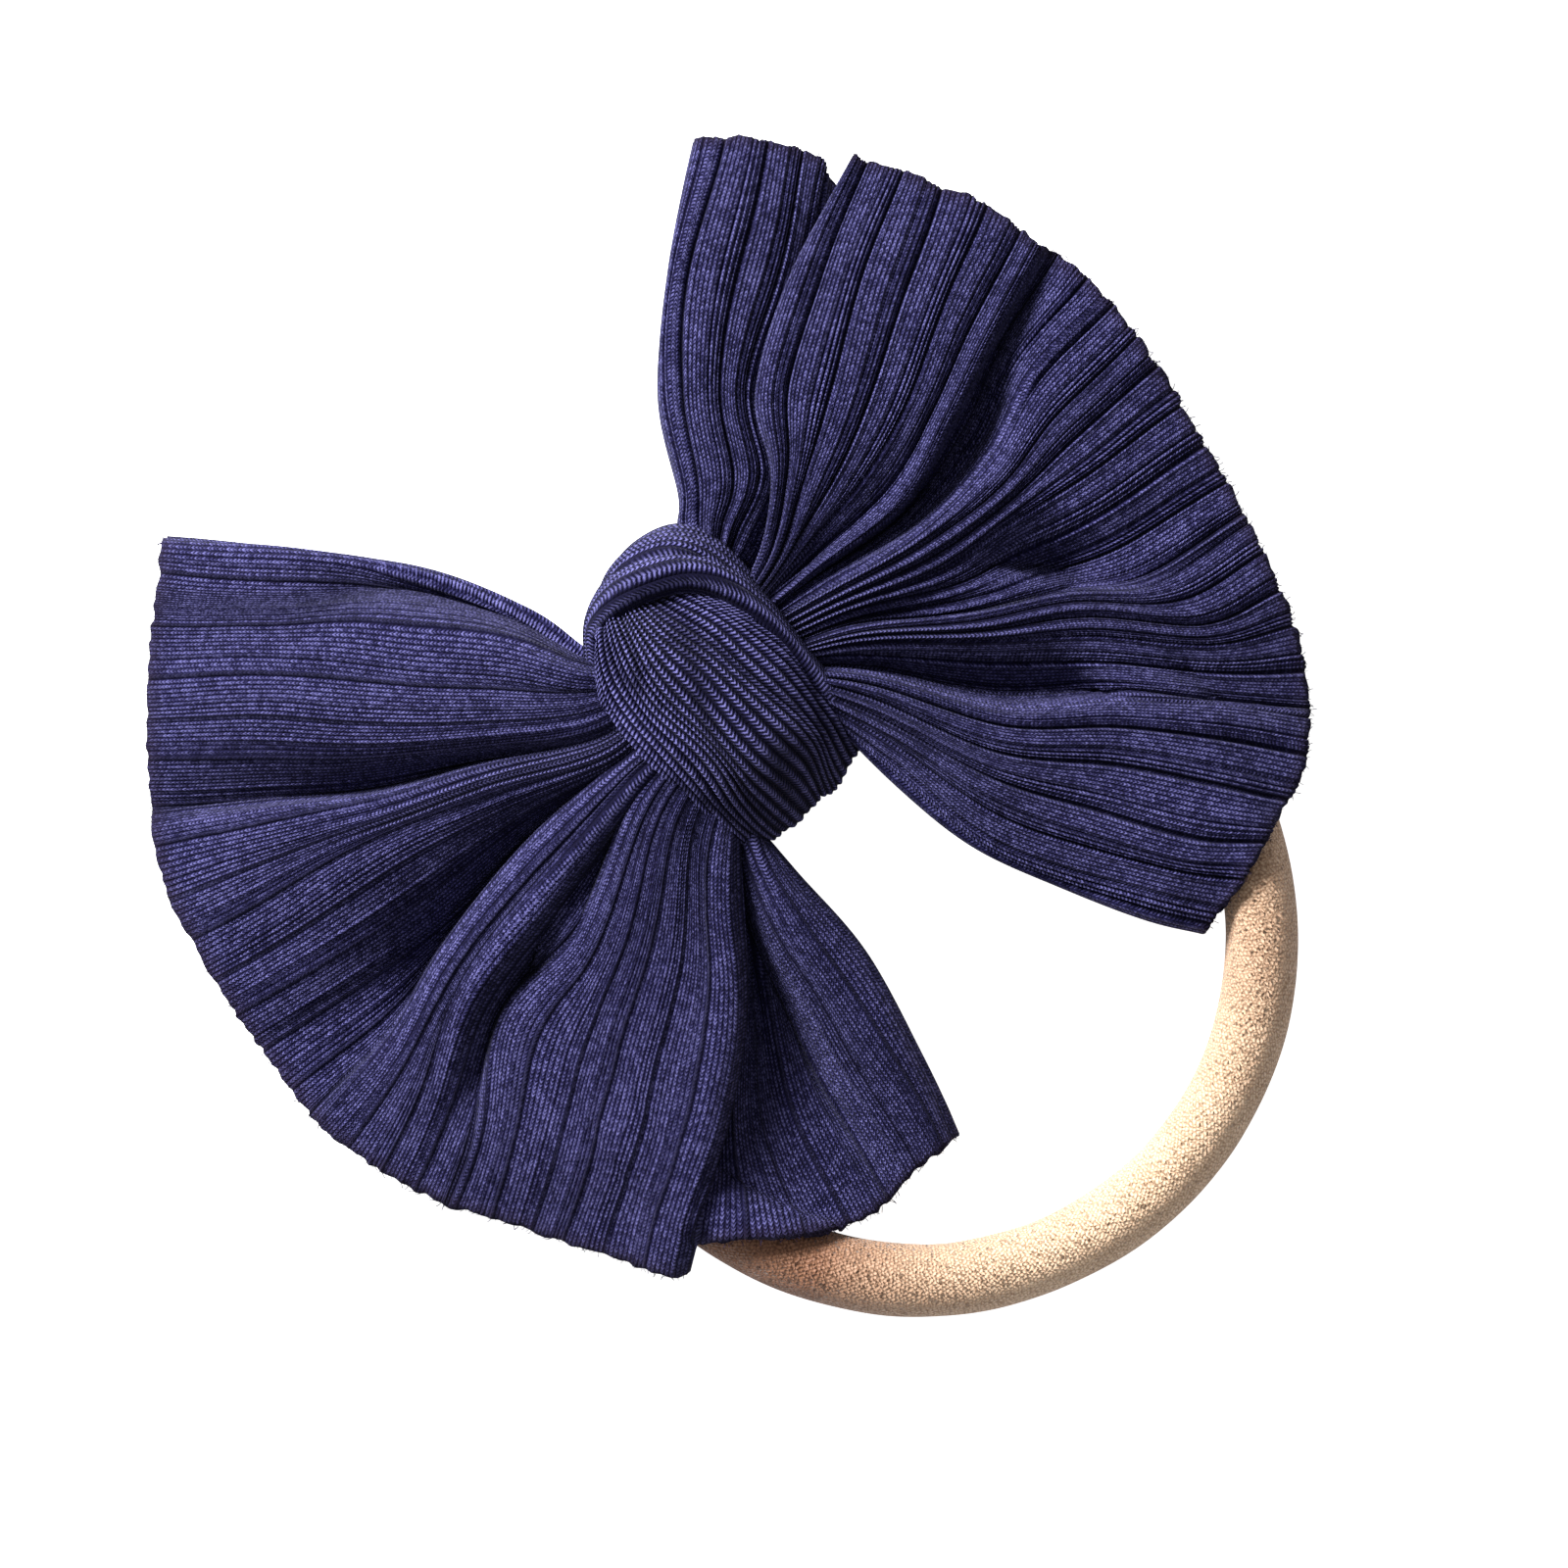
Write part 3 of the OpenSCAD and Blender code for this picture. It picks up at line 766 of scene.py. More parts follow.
# Left pleat: the cloth that turns under the left tail and comes out beside it
leftPleatGuides = [
    (0.0, [(-8, -11, 7.4), (-14, -21, 8.2), (-24, -32, 8.6), (-31, -41, 8.6), (-38.5, -49.6, 7.2)]),
    (1.0, [(-7.8, -11.5, 7.2), (-13.6, -22, 7.6), (-22, -33.5, 7.8), (-29, -43, 8), (-34, -52.6, 7)]),
    (2.0, [(-7.6, -12, 7), (-13.2, -22.8, 6.4), (-20.3, -35, 5.8), (-25.5, -45, 6.4),
         (-28.3, -56.4, 6)]),
    (3.0, [(-7.4, -12.5, 7.2), (-12.8, -23.5, 6.6), (-18, -36, 5.6), (-21.5, -46, 5.6),
         (-23, -58.6, 5)]),
    (3.8, [(-7.2, -12.8, 7), (-12.4, -24, 6), (-15.2, -36.5, 4.6), (-17.4, -46.5, 4.6),
         (-18.8, -58.8, 4)]),
    (4.4, [(-7, -13, 9), (-11.6, -24.2, 9.4), (-12.9, -36.5, 8), (-14.4, -47, 6.4), (-15.6, -58, 4.4)]),
    (5.2, [(-6.8, -13.3, 10), (-10.2, -24.5, 10.8), (-10.6, -37, 9), (-11.4, -47.4, 7),
         (-12.2, -57.3, 4.6)]),
    (6.0, [(-7, -13.6, 10), (-8.2, -24, 11), (-8, -36.5, 9), (-8.6, -47.4, 6.8), (-9.6, -57.2, 4.2)]),
    (6.7, [(-7.2, -14, 9), (-6.6, -22, 9.8), (-5.2, -34, 7.6), (-6.5, -47.4, 5.4), (-8, -57, 3.2)]),
    (7.1, [(-7.2, -14, 7.4), (-6.3, -22, 7.8), (-5, -34, 5.6), (-6.4, -47.4, 3.6), (-7.9, -56.8, 2)]),
    (7.6, [(-7.8, -13.6, 6), (-7.2, -22, 6), (-6, -34, 3.8), (-7.4, -47.4, 2.2), (-9, -56.4, 1.2)]),
]

# Right tail, from the fold at its upper edge to its lower edge
rightTailGuides = [
    (-0.7, [(7, 6.6, 10), (13.4, 9.8, 9.6), (19, 16, 9.8), (23, 23.8, 8.8), (33.4, 32.2, 7),
         (45.4, 39.8, 4.6)]),
    (0.0, [(7, 7.4, 12), (12.6, 10.9, 13.2), (17.9, 16.9, 14.4), (21.4, 25.1, 13.8),
         (31.8, 33.8, 11.2), (45.9, 41.6, 6.6)]),
    (1.0, [(7, 6.8, 13), (13.2, 9.9, 14.4), (19.8, 16.2, 15.2), (25.4, 24.2, 14.2),
         (35.4, 32.6, 11.2), (47, 40.1, 7)]),
    (2.0, [(7, 6, 13), (14, 8.9, 14.3), (22, 15.2, 14.9), (29.6, 21.4, 13.8), (39.6, 30.1, 11),
         (49.7, 37, 7.3)]),
    (3.0, [(7, 5.4, 13), (15, 8.2, 14), (25, 13.4, 14.2), (34, 19.2, 13.3), (43, 26.3, 10.8),
         (52.2, 33, 7.2)]),
    (4.0, [(7, 5, 13), (15.6, 7.4, 13.4), (27.2, 11, 13.2), (36.5, 15.2, 12.6), (46, 22.5, 10.6),
         (55, 29, 7.2)]),
    (5.0, [(7, 4.6, 12.8), (16, 6.4, 12.8), (28, 8.2, 12.2), (37.6, 12.6, 12), (46.2, 17.9, 10.6),
         (56.8, 24, 7.2)]),
    (5.7, [(7, 4.3, 13.2), (16, 5.2, 13.8), (28, 6.1, 13.4), (38, 11, 12.4), (46.8, 16, 11),
         (57.6, 21.6, 7.2)]),
    (7.3, [(7, 4, 11.5), (16, 4.3, 11), (28, 4.7, 6.6), (38.8, 8.6, 4.6), (47.8, 14, 6.4),
         (59, 18.6, 5.8)]),
    (8.0, [(7, 3.6, 12.4), (16, 3.7, 12.6), (28, 3.4, 9), (39.4, 6.6, 6.4), (48.6, 12, 8.4),
         (60.1, 15.3, 6.4)]),
    (9.2, [(7, 3, 13), (16, 2.4, 14.2), (28, 1.6, 13.6), (39.4, 3.2, 11.6), (49, 7.6, 10.6),
         (60.8, 10, 7.4)]),
    (10.0, [(7, 2.5, 13), (16, 1.6, 14.4), (28, 0.4, 13.8), (38.8, 1, 12.4), (48.8, 4.4, 11.2),
         (61, 6.4, 7.6)]),
    (11.0, [(7, 1.8, 13), (16, 0.7, 14.2), (27.8, -1.3, 13.2), (38, -1, 12.2), (48.6, 1, 11),
         (61, 1.8, 7.5)]),
    (12.0, [(7, 1.2, 13), (16, -0.3, 13.8), (27.6, -3.2, 12.2), (37.2, -3, 11.2),
         (48.2, -3.3, 10.8), (60.7, -3.5, 7.3)]),
    (13.0, [(7, 0.7, 12.6), (16, -1.2, 13.2), (27.4, -5.2, 10.6), (36.6, -6, 8.6), (48, -7.9, 10),
         (60.4, -8.3, 7)]),
    (14.0, [(7, 0.2, 12), (16, -2, 11.8), (27.2, -7, 6.4), (36.5, -9.2, 4.6), (47, -12.2, 8.6),
         (60.2, -13, 6.8)]),
    (14.7, [(7, -0.1, 12), (16, -2.5, 12), (27, -8.2, 7), (36.8, -11.4, 5.4), (46.6, -15.4, 9),
         (59.8, -16, 7)]),
    (16.4, [(7, -0.4, 13.4), (16, -3.2, 14.5), (27, -9, 13.6), (37.6, -13.3, 12.4),
         (47, -18.4, 10.8), (59.4, -19.2, 7.2)]),
    (17.5, [(7, -0.7, 13.4), (16, -4, 14.6), (27.4, -10.6, 13.8), (38, -15.4, 12.8),
         (48.6, -23.4, 11), (58.6, -24.6, 7.2)]),
    (19.0, [(7, -1.1, 13), (16, -5.2, 13.8), (27, -12.6, 12.6), (37.5, -18.8, 12),
         (48, -27.2, 10.4), (57.2, -31, 7)]),
    (20.0, [(7, -1.6, 12), (15.5, -6.4, 12.4), (26, -14.7, 9.6), (36.5, -21.8, 9.4),
         (47.3, -30.2, 9), (55.6, -35.4, 6.6)]),
    (20.7, [(7, -2, 11.4), (15, -7.6, 10), (25, -17.2, 5.8), (35.6, -24.2, 6.6), (46, -32.6, 7.8),
         (53.9, -38.6, 6.2)]),
    (22.3, [(7, -2.6, 12.4), (14.5, -8.7, 14), (24.4, -20.2, 13), (35, -26.8, 12),
         (45, -34.4, 10.6), (52.4, -41, 7)]),
    (23.5, [(7, -3.4, 13), (13.4, -10.2, 14.2), (22.3, -22.4, 13.6), (33, -30.6, 12.4),
         (41.6, -38.6, 11.2), (48.2, -45.3, 8.6)]),
    (24.4, [(7, -4.2, 12.8), (12.6, -11.6, 13.6), (20.2, -24.4, 13), (29.8, -34, 12),
         (37.4, -41.6, 11.4), (43.6, -47.6, 9.4)]),
    (25.4, [(7, -5.2, 12.4), (11.9, -13.8, 13), (18, -26.6, 12.2), (25.6, -36.4, 11.4),
         (32.6, -44.8, 11), (39.4, -49.7, 9.8)]),
    (26.4, [(7, -6.2, 12), (11, -16.6, 12.2), (15.4, -28.7, 11.4), (22, -38.6, 10.2),
         (28.4, -46.4, 10), (34, -52, 9)]),
    (27.3, [(7, -7, 11), (9.7, -20.5, 10.6), (13, -31, 9.6), (18.7, -40.5, 8.4), (24.3, -48.6, 8),
         (28.9, -53.8, 7)]),
    (27.8, [(7.6, -6.6, 9.4), (9.8, -20.7, 8.6), (13, -30.8, 7.6), (18.7, -40.2, 6.6),
         (24.3, -48.2, 5.4), (29, -53.4, 4)]),
]

# Right pleat: the stretch of the right tail that lies behind the rest
rightPleatGuides = [
    (0.0, [(4, 12.5, 7), (5.6, 17.4, 7.6), (7.9, 20.6, 8), (12.2, 31, 8), (21.4, 42.4, 6.6),
         (31.8, 53, 3.6)]),
    (0.5, [(4.4, 12.6, 10), (6, 17.8, 10.6), (8.2, 21, 11.4), (12.6, 31.4, 11.4), (21.8, 42.8, 9.8),
         (32.6, 53.2, 5.6)]),
    (1.0, [(5.4, 12, 11.4), (7.6, 16.8, 12), (9.8, 20.4, 12.6), (14.6, 30, 12.6),
         (24.4, 41.4, 10.8), (35.2, 51.5, 6.4)]),
    (2.0, [(6.4, 11.4, 11.6), (9.8, 15.2, 12.8), (13.6, 18.8, 13.6), (18.4, 28, 12.9),
         (28.6, 38.4, 10.8), (39, 48.4, 6.6)]),
    (3.0, [(7, 10.6, 11.2), (11, 13.6, 12.6), (16.4, 17.6, 13.4), (20.8, 26.4, 12.4),
         (31.2, 35.2, 9.8), (41.8, 45, 6)]),
    (3.6, [(7.4, 10, 10.8), (11.8, 12.4, 11.8), (17.8, 16.6, 12.2), (21.8, 25, 11),
         (32.4, 33.6, 8.4), (43, 43, 5.4)]),
    (4.2, [(7.6, 9.2, 10), (12.4, 11.2, 10.2), (18.8, 15.6, 10.2), (23.2, 23.2, 8.6),
         (33.4, 31.6, 6), (42.4, 40.6, 4.2)]),
    (4.8, [(7.8, 8, 9.2), (12.8, 9.8, 9), (19.6, 14, 8.6), (24.8, 20.6, 7), (35, 29.4, 4.8),
         (43.4, 38, 3.2)]),
    (5.6, [(8, 6.4, 8.6), (13, 8, 8), (20, 12, 7.6), (26.4, 17.6, 5.8), (36.6, 26.8, 3.8),
         (44.6, 35.4, 2.4)]),
]

tailOptions = {
    "left_tail_cloth": {"rows": 72, "seed": 1.3, "overBand": 0.8},
    "left_pleat_cloth": {"rows": 64, "seed": 4.1, "overBand": 0.05},
    "right_tail_cloth": {"rows": 72, "seed": 8.7, "overBand": 0.3},
    "right_pleat_cloth": {"rows": 64, "seed": 12.9},
}


# The dome of the knot's front: for each height on the bow (y), its top (z), its middle and half
# width (x) and the height of its sides (z)
domeStations = [
    # y, top, middle, half width, side
    (-17.4, 8.6, 0.0, 8.6, 7.0),
    (-15.2, 13.6, -0.4, 9.6, 7.6),
    (-10.4, 18.2, -0.9, 10.4, 8.4),
    (-3.6, 20.8, -2.0, 11.2, 9.0),
    (3.4, 21.4, -2.3, 11.1, 9.6),
    (9.4, 20.4, -3.2, 9.2, 10.8),
    (13.0, 17.8, -3.8, 6.4, 12.0),
    (15.0, 14.6, -3.8, 5.0, 11.0),
]

# Lines that the wales follow down the front, from where they come out under the hood to the
# knot's lower edge
waleLines = [
    [(-9.6, 11.5), (-12.6, 6), (-13.3, 0), (-12.6, -5), (-11, -10), (-9.8, -14), (-8.6, -17)],
    [(-8.4, 12.6), (-10.4, 8.5), (-11.5, 3), (-11.4, -3), (-10, -9.5), (-8.4, -15), (-7.6, -17.2)],
    [(-7.2, 13), (-8.8, 8), (-9.5, 2.5), (-9.4, -3.5), (-8.2, -10), (-6.8, -15.5), (-6, -17.5)],
    [(-6.2, 13.2), (-7.2, 8), (-7.6, 2), (-7.2, -4), (-6.2, -10.5), (-4.8, -15.8), (-4.2, -17.6)],
    [(-5.3, 13.3), (-5.7, 8), (-5.6, 2), (-5, -4), (-4, -10.5), (-2.8, -16), (-2.3, -17.7)],
    [(-4.4, 13.3), (-4.3, 8), (-3.6, 2), (-2.8, -4), (-1.8, -10.5), (-0.8, -16), (-0.5, -17.4)],
    [(-3.4, 13.2), (-2.7, 8), (-1.4, 2), (-0.5, -4), (0.4, -10.5), (1.2, -15.8), (1.3, -16.9)],
    [(-2.3, 13), (-1, 8), (0.9, 2), (2, -4), (2.8, -10.5), (3.2, -15.6), (3.2, -16.6)],
    [(-1, 12.8), (1, 7.8), (3.1, 1.6), (4.3, -4.2), (5, -10.4), (5, -15), (5, -16.1)],
    [(0.6, 12.4), (3.1, 7.2), (5.2, 1), (6.3, -4.6), (6.8, -10.2), (6.7, -14.2), (6.7, -15.2)],
    [(2.2, 11.6), (4.9, 6.2), (6.9, 0.4), (7.9, -5), (8.3, -10), (8, -13.6), (8, -14.6)],
    [(3.8, 10.4), (6.6, 5.2), (8.2, 0), (9, -5.2), (9.4, -9.8), (9.2, -13.2), (9, -14.2)],
]

knotSettings = {
    "frontRows": 120,
    "hoodRows": 100,
    "backRows": 90,
    "backHalf": 8.4,       # mm, half the width of the turn behind the band
    "clothPerRib": 1.56,   # mm of cloth that shows on each gathered rib
    "frontRibWidth": 3.5,  # mm, of three wales
    "hoodRibWidth": 2.8,
    "stitchScale": 0.84,   # below 1 the stitches are longer than in the tails
    "bundleRate": 0.62,    # how closely the bundles of wales stand
    "bundleLean": 0.5,
    "bundleDrift": 1.7,
    "bundleRound": 2.6,
    "creaseSharp": 9.0,
    "grooveShade": 1.7,
}


# Height of the knot's front, where its lower edge is at y = edge
def domeHeight(x, y, edge):
    table = np.array(domeStations)
    if y < 0:
        y = y * table[0, 0] / edge
    top, middle, half, side = (np.interp(y, table[:, 0], table[:, k]) for k in (1, 2, 3, 4))
    t = min(1.0, abs((x - middle) / half))
    return side + (top - side) * (1 - t**2.1) ** 0.38


# Guide lines down the front of the knot, from its left side over the top to its right side
def frontGuides():
    guides = []
    for k, plan in enumerate(waleLines):
        edge = plan[-1][1]
        start = plan[0]
        line = [(start[0] * 0.5 - 1.9, start[1] + 1.6, 13.0)]
        line += [(x, y, domeHeight(x, y, edge)) for x, y in plan]
        x, y = plan[-1]
        line += [(x * 0.96, y + 1.8, 4.6), (x * 0.9, y + 6.9, 2.6)]
        guides.append((k, line))
    for turn in (-1, 1):   # both sides are tucked down and in
        rib, line = guides[0] if turn < 0 else guides[-1]
        for step, inward in ((1, 0.1), (2, 1.3)):
            tucked = []
            for x, y, z in line:
                tucked.append((x - turn * inward, y, z - min(3.2 * step, 0.35 * step * z)))
            guides.insert(0 if turn < 0 else len(guides), (rib + turn * step, tucked))
    return guides


hoodInnerGuides = [
    (0, [(-12, 6.9, 9), (-9.7, 10.6, 11.6), (-8.1, 12.9, 13.6), (-5.2, 13.8, 16), (-1.5, 13.4, 17.4),
         (2.2, 12, 17.2), (5.2, 9.1, 16.6), (7.2, 4.5, 15.8), (8.4, -1.8, 13.8), (9, -8, 11.4),
         (9, -12, 8.6)]),
    (1, [(-12.4, 7, 9.2), (-10, 11, 12.4), (-8.4, 13.2, 14.8), (-5.2, 14, 17.2), (-1.3, 13.6, 18.5),
         (2.6, 12.2, 18.3), (5.5, 9.4, 17.6), (7.4, 4.7, 16.5), (8.6, -1.6, 14.5), (9.2, -8, 12),
         (9.3, -12.4, 9)]),
    (2, [(-12.6, 7.4, 8.6), (-10.1, 11.6, 11.8), (-8.1, 14.1, 14.8), (-4.8, 15.1, 17.7),
         (-0.8, 14.9, 19.3), (3.3, 13.3, 18.9), (6.1, 10, 17.8), (7.9, 5, 16.2), (8.9, -1.4, 14),
         (9.4, -7.8, 11.4), (9.4, -12.2, 8.6)]),
    (3, [(-12.4, 7.8, 7.6), (-9.9, 11.9, 10.4), (-7.7, 14.7, 13.4), (-4.4, 16, 16.3),
         (-0.2, 15.9, 17.9), (3.8, 14.2, 17.5), (6.7, 10.6, 16.3), (8.4, 5.2, 14.8), (9.1, -1.2, 12.8),
         (9.5, -7.6, 10.4), (9.5, -12, 8)]),
    (4, [(-11.8, 7.8, 6.6), (-9.3, 11.6, 8.6), (-7.1, 14.7, 11.2), (-3.8, 16.4, 13.8), (0.4, 16.4, 15),
         (4.3, 14.7, 14.6), (7.1, 11, 13.6), (8.6, 5.4, 12.4), (9.2, -1, 10.8), (9.5, -7.4, 9),
         (9.5, -12, 7)]),
]

hoodOuterGuides = [
    (0, [(-9.6, 10.6, 6.6), (-6.2, 13.4, 9.4), (-4.2, 15.6, 12.6), (-1.2, 16.1, 14.6),
         (2.5, 14.9, 15), (5.3, 11.9, 14.2),
         (7.3, 7.3, 13), (8.2, 1.4, 11.8), (8.6, -4, 10.8)]),
    (1, [(-9.8, 10.8, 7.0), (-6.5, 14.2, 10.4), (-4, 16.4, 14.2), (-0.7, 16.9, 16.8),
         (3.2, 15.6, 17.2), (5.9, 12.5, 16),
         (7.6, 8, 14.6), (8.5, 1.9, 12.8), (8.8, -4, 11)]),
    (2, [(-9.9, 10.9, 6.6), (-6.6, 14.6, 9.8), (-3.8, 16.8, 13.6), (-0.2, 17.4, 16.2),
         (3.8, 16.3, 16.4),
         (6.6, 13.3, 15.2), (8.1, 8.7, 13.8), (8.8, 2.3, 12), (9, -4, 10.4)]),
    (3, [(-9.8, 10.6, 5.6), (-6.5, 14.6, 8.4), (-3.5, 17, 11.6), (0.3, 17.9, 13.8),
         (4.6, 17.1, 13.8), (7.4, 14.1, 12.8),
         (8.6, 9.1, 11.8), (9, 2.6, 10.6), (9.1, -4, 9.6)]),
    (4, [(-9.5, 10, 4.6), (-6.2, 14, 6.8), (-3.1, 17, 8.6), (0.8, 18.2, 10), (5.1, 17.5, 10),
         (7.8, 14.4, 9.8),
         (8.7, 9.2, 9.4), (9, 2.6, 8.8), (9.1, -4, 8.2)]),
    (5, [(-9, 9.2, 3.8), (-5.6, 12.6, 5.2), (-2.6, 15.6, 5.2), (1, 16.6, 5.6), (4.8, 15.9, 5.8),
         (7.3, 13, 6.2),
         (8.4, 8.6, 6.6), (8.8, 2.4, 6.6), (8.9, -4, 6.6)]),
]


# Lines of the turn of cloth behind the band, from the top of the knot under to its bottom
def backGuides(half):
    section = [(15.6, 12.5), (15.4, 6.4), (10.5, 1.9), (5, 0.85), (0, 0.7), (-5, 0.85), (-10.5, 1.9),
               (-14, 4.2), (-14.4, 8)]
    guides = []
    count = 9
    for k in range(count):
        s = -1 + 2 * k / (count - 1)
        pinch = 1.1 * abs(s) ** 5
        line = []
        for y, z in section:
            narrow = 1 - 0.42 * (abs(y) / 15.6) ** 3
            aside = 0.7 * max(0.0, y) / 15.6
            rolled = pinch * 2.0 + (0.4 if abs(s) == 1 else 0)
            line.append((half * s * narrow + aside, y, z + rolled))
        guides.append((8.0 * k / (count - 1), line))
    return guides


def makeKnot(mat):
    opts = {"rim": False, "floor": False, "flutter": 0.3, "depth": 0.78, "knotted": True,
            "wander": 0.30, "wanderRate": 3.2, "bundle": 0.55, "creaseShading": 0.85,
            "ribWidth": knotSettings["hoodRibWidth"]}
    frontOpts = {**opts, "rows": knotSettings["frontRows"], "seed": 21.5, "flip": True,
                 "ribWidth": knotSettings["frontRibWidth"], "calmEnd": 0.6, "calmFrom": 0.66}
    hoodOpts = {**opts, "rows": knotSettings["hoodRows"], "bundle": 0.2, "creaseShading": 0.3}
    backOpts = {**opts, "rows": knotSettings["backRows"], "seed": 33.0, "floor": True, "wall": 0.7}
    front = ribbedSheet("knot_front_cloth", mat, frontGuides(), frontOpts)
    inner = ribbedSheet("knot_hood_inner", mat, hoodInnerGuides, {**hoodOpts, "seed": 25.0})
    outer = ribbedSheet("knot_hood_outer", mat, hoodOuterGuides, {**hoodOpts, "seed": 29.0})
    back = ribbedSheet("knot_back_turn", mat, backGuides(knotSettings["backHalf"]), backOpts)
    for piece in (front, inner, outer, back):
        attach(piece, "knot")
    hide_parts("knot_front")
    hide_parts("knot_hood")
    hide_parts("knot_turn")


# Loose threads along the cut edges

threadSettings = {
    "spacing": 0.42,       # mm between threads
    "length": 0.85,        # mm, the longest
    "radius": 0.045,       # mm
    "stray": 1.15,         # radians, how far a thread may lean
    "seed": 11,
    "yarn": (0.030, 0.021, 0.062, 1),
    "dark": (0.010, 0.007, 0.020, 1),
}


def threadMaterial(opts):
    n = Nodes("looseThread")
    where = n.node("ShaderNodeTexCoord").outputs["Object"]
    speck = n.noise(where, 900.0, 2.0)
    n.put(n.shader.inputs["Base Color"], n.mix(n.span(speck, 0.35, 0.65), opts["dark"], opts["yarn"]))
    n.shader.inputs["Roughness"].default_value = 0.9
    n.shader.inputs["Specular IOR Level"].default_value = 0.1
    return n.mat


# Geometry nodes that set bent threads along an edge, each leaning a little its own way
def threadTree(mat):
    tree = bpy.data.node_groups.new("cutEdgeThreads", "GeometryNodeTree")
    tree.interface.new_socket("Geometry", in_out="INPUT", socket_type="NodeSocketGeometry")
    for name in ("Spacing", "Length", "Radius", "Stray"):
        tree.interface.new_socket(name, in_out="INPUT", socket_type="NodeSocketFloat")
    tree.interface.new_socket("Seed", in_out="INPUT", socket_type="NodeSocketInt")
    tree.interface.new_socket("Geometry", in_out="OUTPUT", socket_type="NodeSocketGeometry")

    def make(kind, **settings):
        made = tree.nodes.new(kind)
        for key, value in settings.items():
            setattr(made, key, value)
        return made

    def link(a, b):
        tree.links.new(a, b)

    given = make("NodeGroupInput").outputs
    edge = make("GeometryNodeMeshToCurve")
    link(given["Geometry"], edge.inputs["Mesh"])
    spaced = make("GeometryNodeResampleCurve", mode="LENGTH")
    link(edge.outputs["Curve"], spaced.inputs["Curve"])
    link(given["Spacing"], spaced.inputs["Length"])
    bent = make("GeometryNodeCurveQuadraticBezier")
    bent.inputs["Resolution"].default_value = 5
    bend = {"Start": (0, 0, -0.5), "Middle": (0.25, 0, 0.45), "End": (-0.15, 0.2, 1.0)}
    for key, place in bend.items():
        bent.inputs[key].default_value = place
    scaled = make("GeometryNodeTransform")
    link(bent.outputs["Curve"], scaled.inputs["Geometry"])
    size = make("ShaderNodeCombineXYZ")
    for socket in size.inputs:
        link(given["Length"], socket)
    link(size.outputs[0], scaled.inputs["Scale"])
    around = make("GeometryNodeCurvePrimitiveCircle", mode="RADIUS")
    around.inputs["Resolution"].default_value = 5
    link(given["Radius"], around.inputs["Radius"])
    thread = make("GeometryNodeCurveToMesh")
    thread.inputs["Fill Caps"].default_value = True
    link(scaled.outputs["Geometry"], thread.inputs["Curve"])
    link(around.outputs["Curve"], thread.inputs["Profile Curve"])
    outward = make("GeometryNodeInputNamedAttribute", data_type="FLOAT_VECTOR")
    outward.inputs["Name"].default_value = "outward"
    aim = make("FunctionNodeAlignRotationToVector", axis="Z")
    link(outward.outputs["Attribute"], aim.inputs["Vector"])
    lean = make("FunctionNodeRandomValue", data_type="FLOAT_VECTOR")
    back = make("ShaderNodeMath", operation="MULTIPLY")
    back.inputs[1].default_value = -1.0
    link(given["Stray"], back.inputs[0])
    for socket, source in (("Min", back.outputs[0]), ("Max", given["Stray"])):
        spread = make("ShaderNodeCombineXYZ")
        for part in spread.inputs:
            link(source, part)
        link(spread.outputs[0], lean.inputs[socket])
    link(given["Seed"], lean.inputs["Seed"])
    turn = make("FunctionNodeRotateRotation", rotation_space="LOCAL")
    link(aim.outputs["Rotation"], turn.inputs["Rotation"])
    link(lean.outputs["Value"], turn.inputs["Rotate By"])
    sizes = make("FunctionNodeRandomValue", data_type="FLOAT")
    sizes.inputs[2].default_value = 0.25
    sizes.inputs[3].default_value = 1.0
    link(given["Seed"], sizes.inputs["Seed"])
    placed = make("GeometryNodeInstanceOnPoints")
    link(spaced.outputs["Curve"], placed.inputs["Points"])
    link(thread.outputs["Mesh"], placed.inputs["Instance"])
    link(turn.outputs["Rotation"], placed.inputs["Rotation"])
    link(sizes.outputs[1], placed.inputs["Scale"])
    real = make("GeometryNodeRealizeInstances")
    link(placed.outputs["Instances"], real.inputs["Geometry"])
    painted = make("GeometryNodeSetMaterial")
    painted.inputs["Material"].default_value = mat
    link(real.outputs["Geometry"], painted.inputs["Geometry"])
    link(painted.outputs["Geometry"], make("NodeGroupOutput").inputs["Geometry"])
    return tree


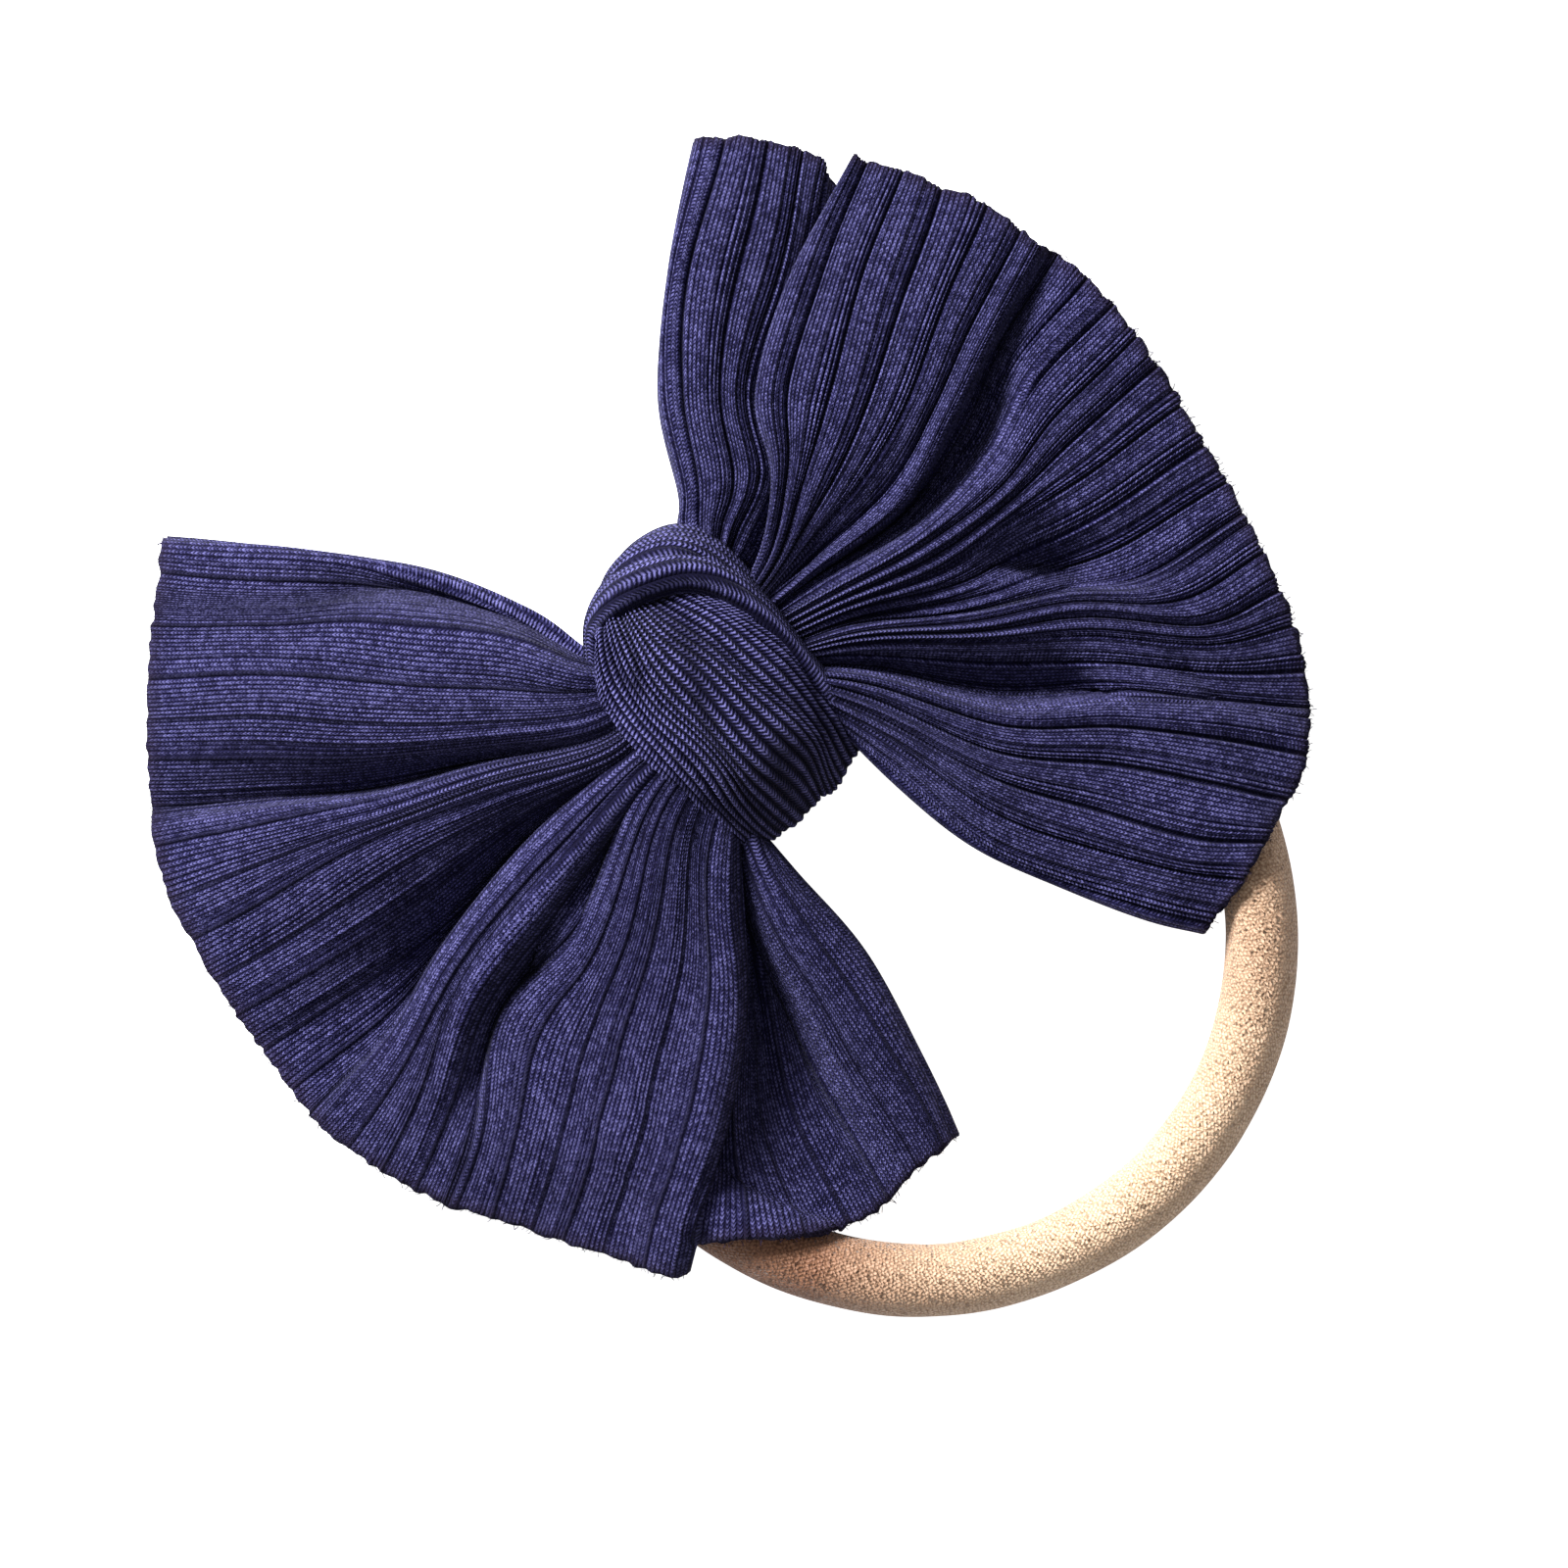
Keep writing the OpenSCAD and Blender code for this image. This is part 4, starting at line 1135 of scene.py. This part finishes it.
def edgeThreads(name, sheetName, tree, mat, opts, seed):
    points, outward = rims[sheetName]
    data = bpy.data.meshes.new(name + "Edge")
    data.from_pydata((points * mm).tolist(), [(i, i + 1) for i in range(len(points) - 1)], [])
    ways = data.attributes.new("outward", "FLOAT_VECTOR", "POINT")
    ways.data.foreach_set("vector", outward.astype(np.float32).ravel())
    edge = bpy.data.objects.new(name + "Edge", data)
    scene.collection.objects.link(edge)
    maker = edge.modifiers.new("threads", "NODES")
    maker.node_group = tree
    wanted = {"Spacing": opts["spacing"] * mm, "Length": opts["length"] * mm,
              "Radius": opts["radius"] * mm, "Stray": opts["stray"], "Seed": seed}
    for item in tree.interface.items_tree:
        if item.in_out == "INPUT" and item.name in wanted:
            maker[item.identifier] = wanted[item.name]
    made = bpy.data.meshes.new_from_object(edge.evaluated_get(bpy.context.evaluated_depsgraph_get()))
    bpy.data.objects.remove(edge)
    if not made.materials:
        made.materials.append(mat)
    piece = bpy.data.objects.new(name, made)
    scene.collection.objects.link(piece)
    print(f"{name}: {len(made.polygons)} faces")
    return piece


print("camera, light and floor")
makeCamera(cameraSettings)
makeLights(lightSettings)
makeFloor(lightSettings)

print("band")
ribKnit = ribKnitMaterial(knitLook)
nylon = nylonMaterial(bandLook)
band = makeBand(bandShape, nylon)
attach(band, "band")
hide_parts("band")

print("tails")
tailGuides = {
    "left_tail_cloth": leftTailGuides,
    "left_pleat_cloth": leftPleatGuides,
    "right_tail_cloth": rightTailGuides,
    "right_pleat_cloth": rightPleatGuides,
}
tails = {name: ribbedSheet(name, ribKnit, guides, tailOptions[name]) for name, guides in tailGuides.items()}

print("knot")
makeKnot(ribKnit)

foldLines = {joint["name"]: joint for joint in frame["joints"]}


# Reads the fold line of a piece's joint between the knot and its tail, and bakes the piece's transform into
# its mesh
def bendAt(piece, joint):
    info = foldLines[joint]
    pivot = Vector(info["pos_m"])
    outward = Vector(info["axis"]).cross(Vector((0, 0, 1)))
    if outward.x * pivot.x < 0:
        outward.negate()
    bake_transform(piece)


for name, piece in tails.items():
    bendAt(piece, "left_tail_lift" if name.startswith("left") else "right_tail_lift")
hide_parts("left_tail", "left_neck")
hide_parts("left_pleat")
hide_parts("right_tail", "right_neck")
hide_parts("right_pleat")

print("cut edges")
threadMat = threadMaterial(threadSettings)
threads = threadTree(threadMat)
for number, sheet in enumerate(tails):
    made = edgeThreads(sheet.replace("_cloth", "_threads"), sheet, threads, threadMat, threadSettings,
                       threadSettings["seed"] + number)
    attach(made, "left_tail" if sheet.startswith("left") else "right_tail")
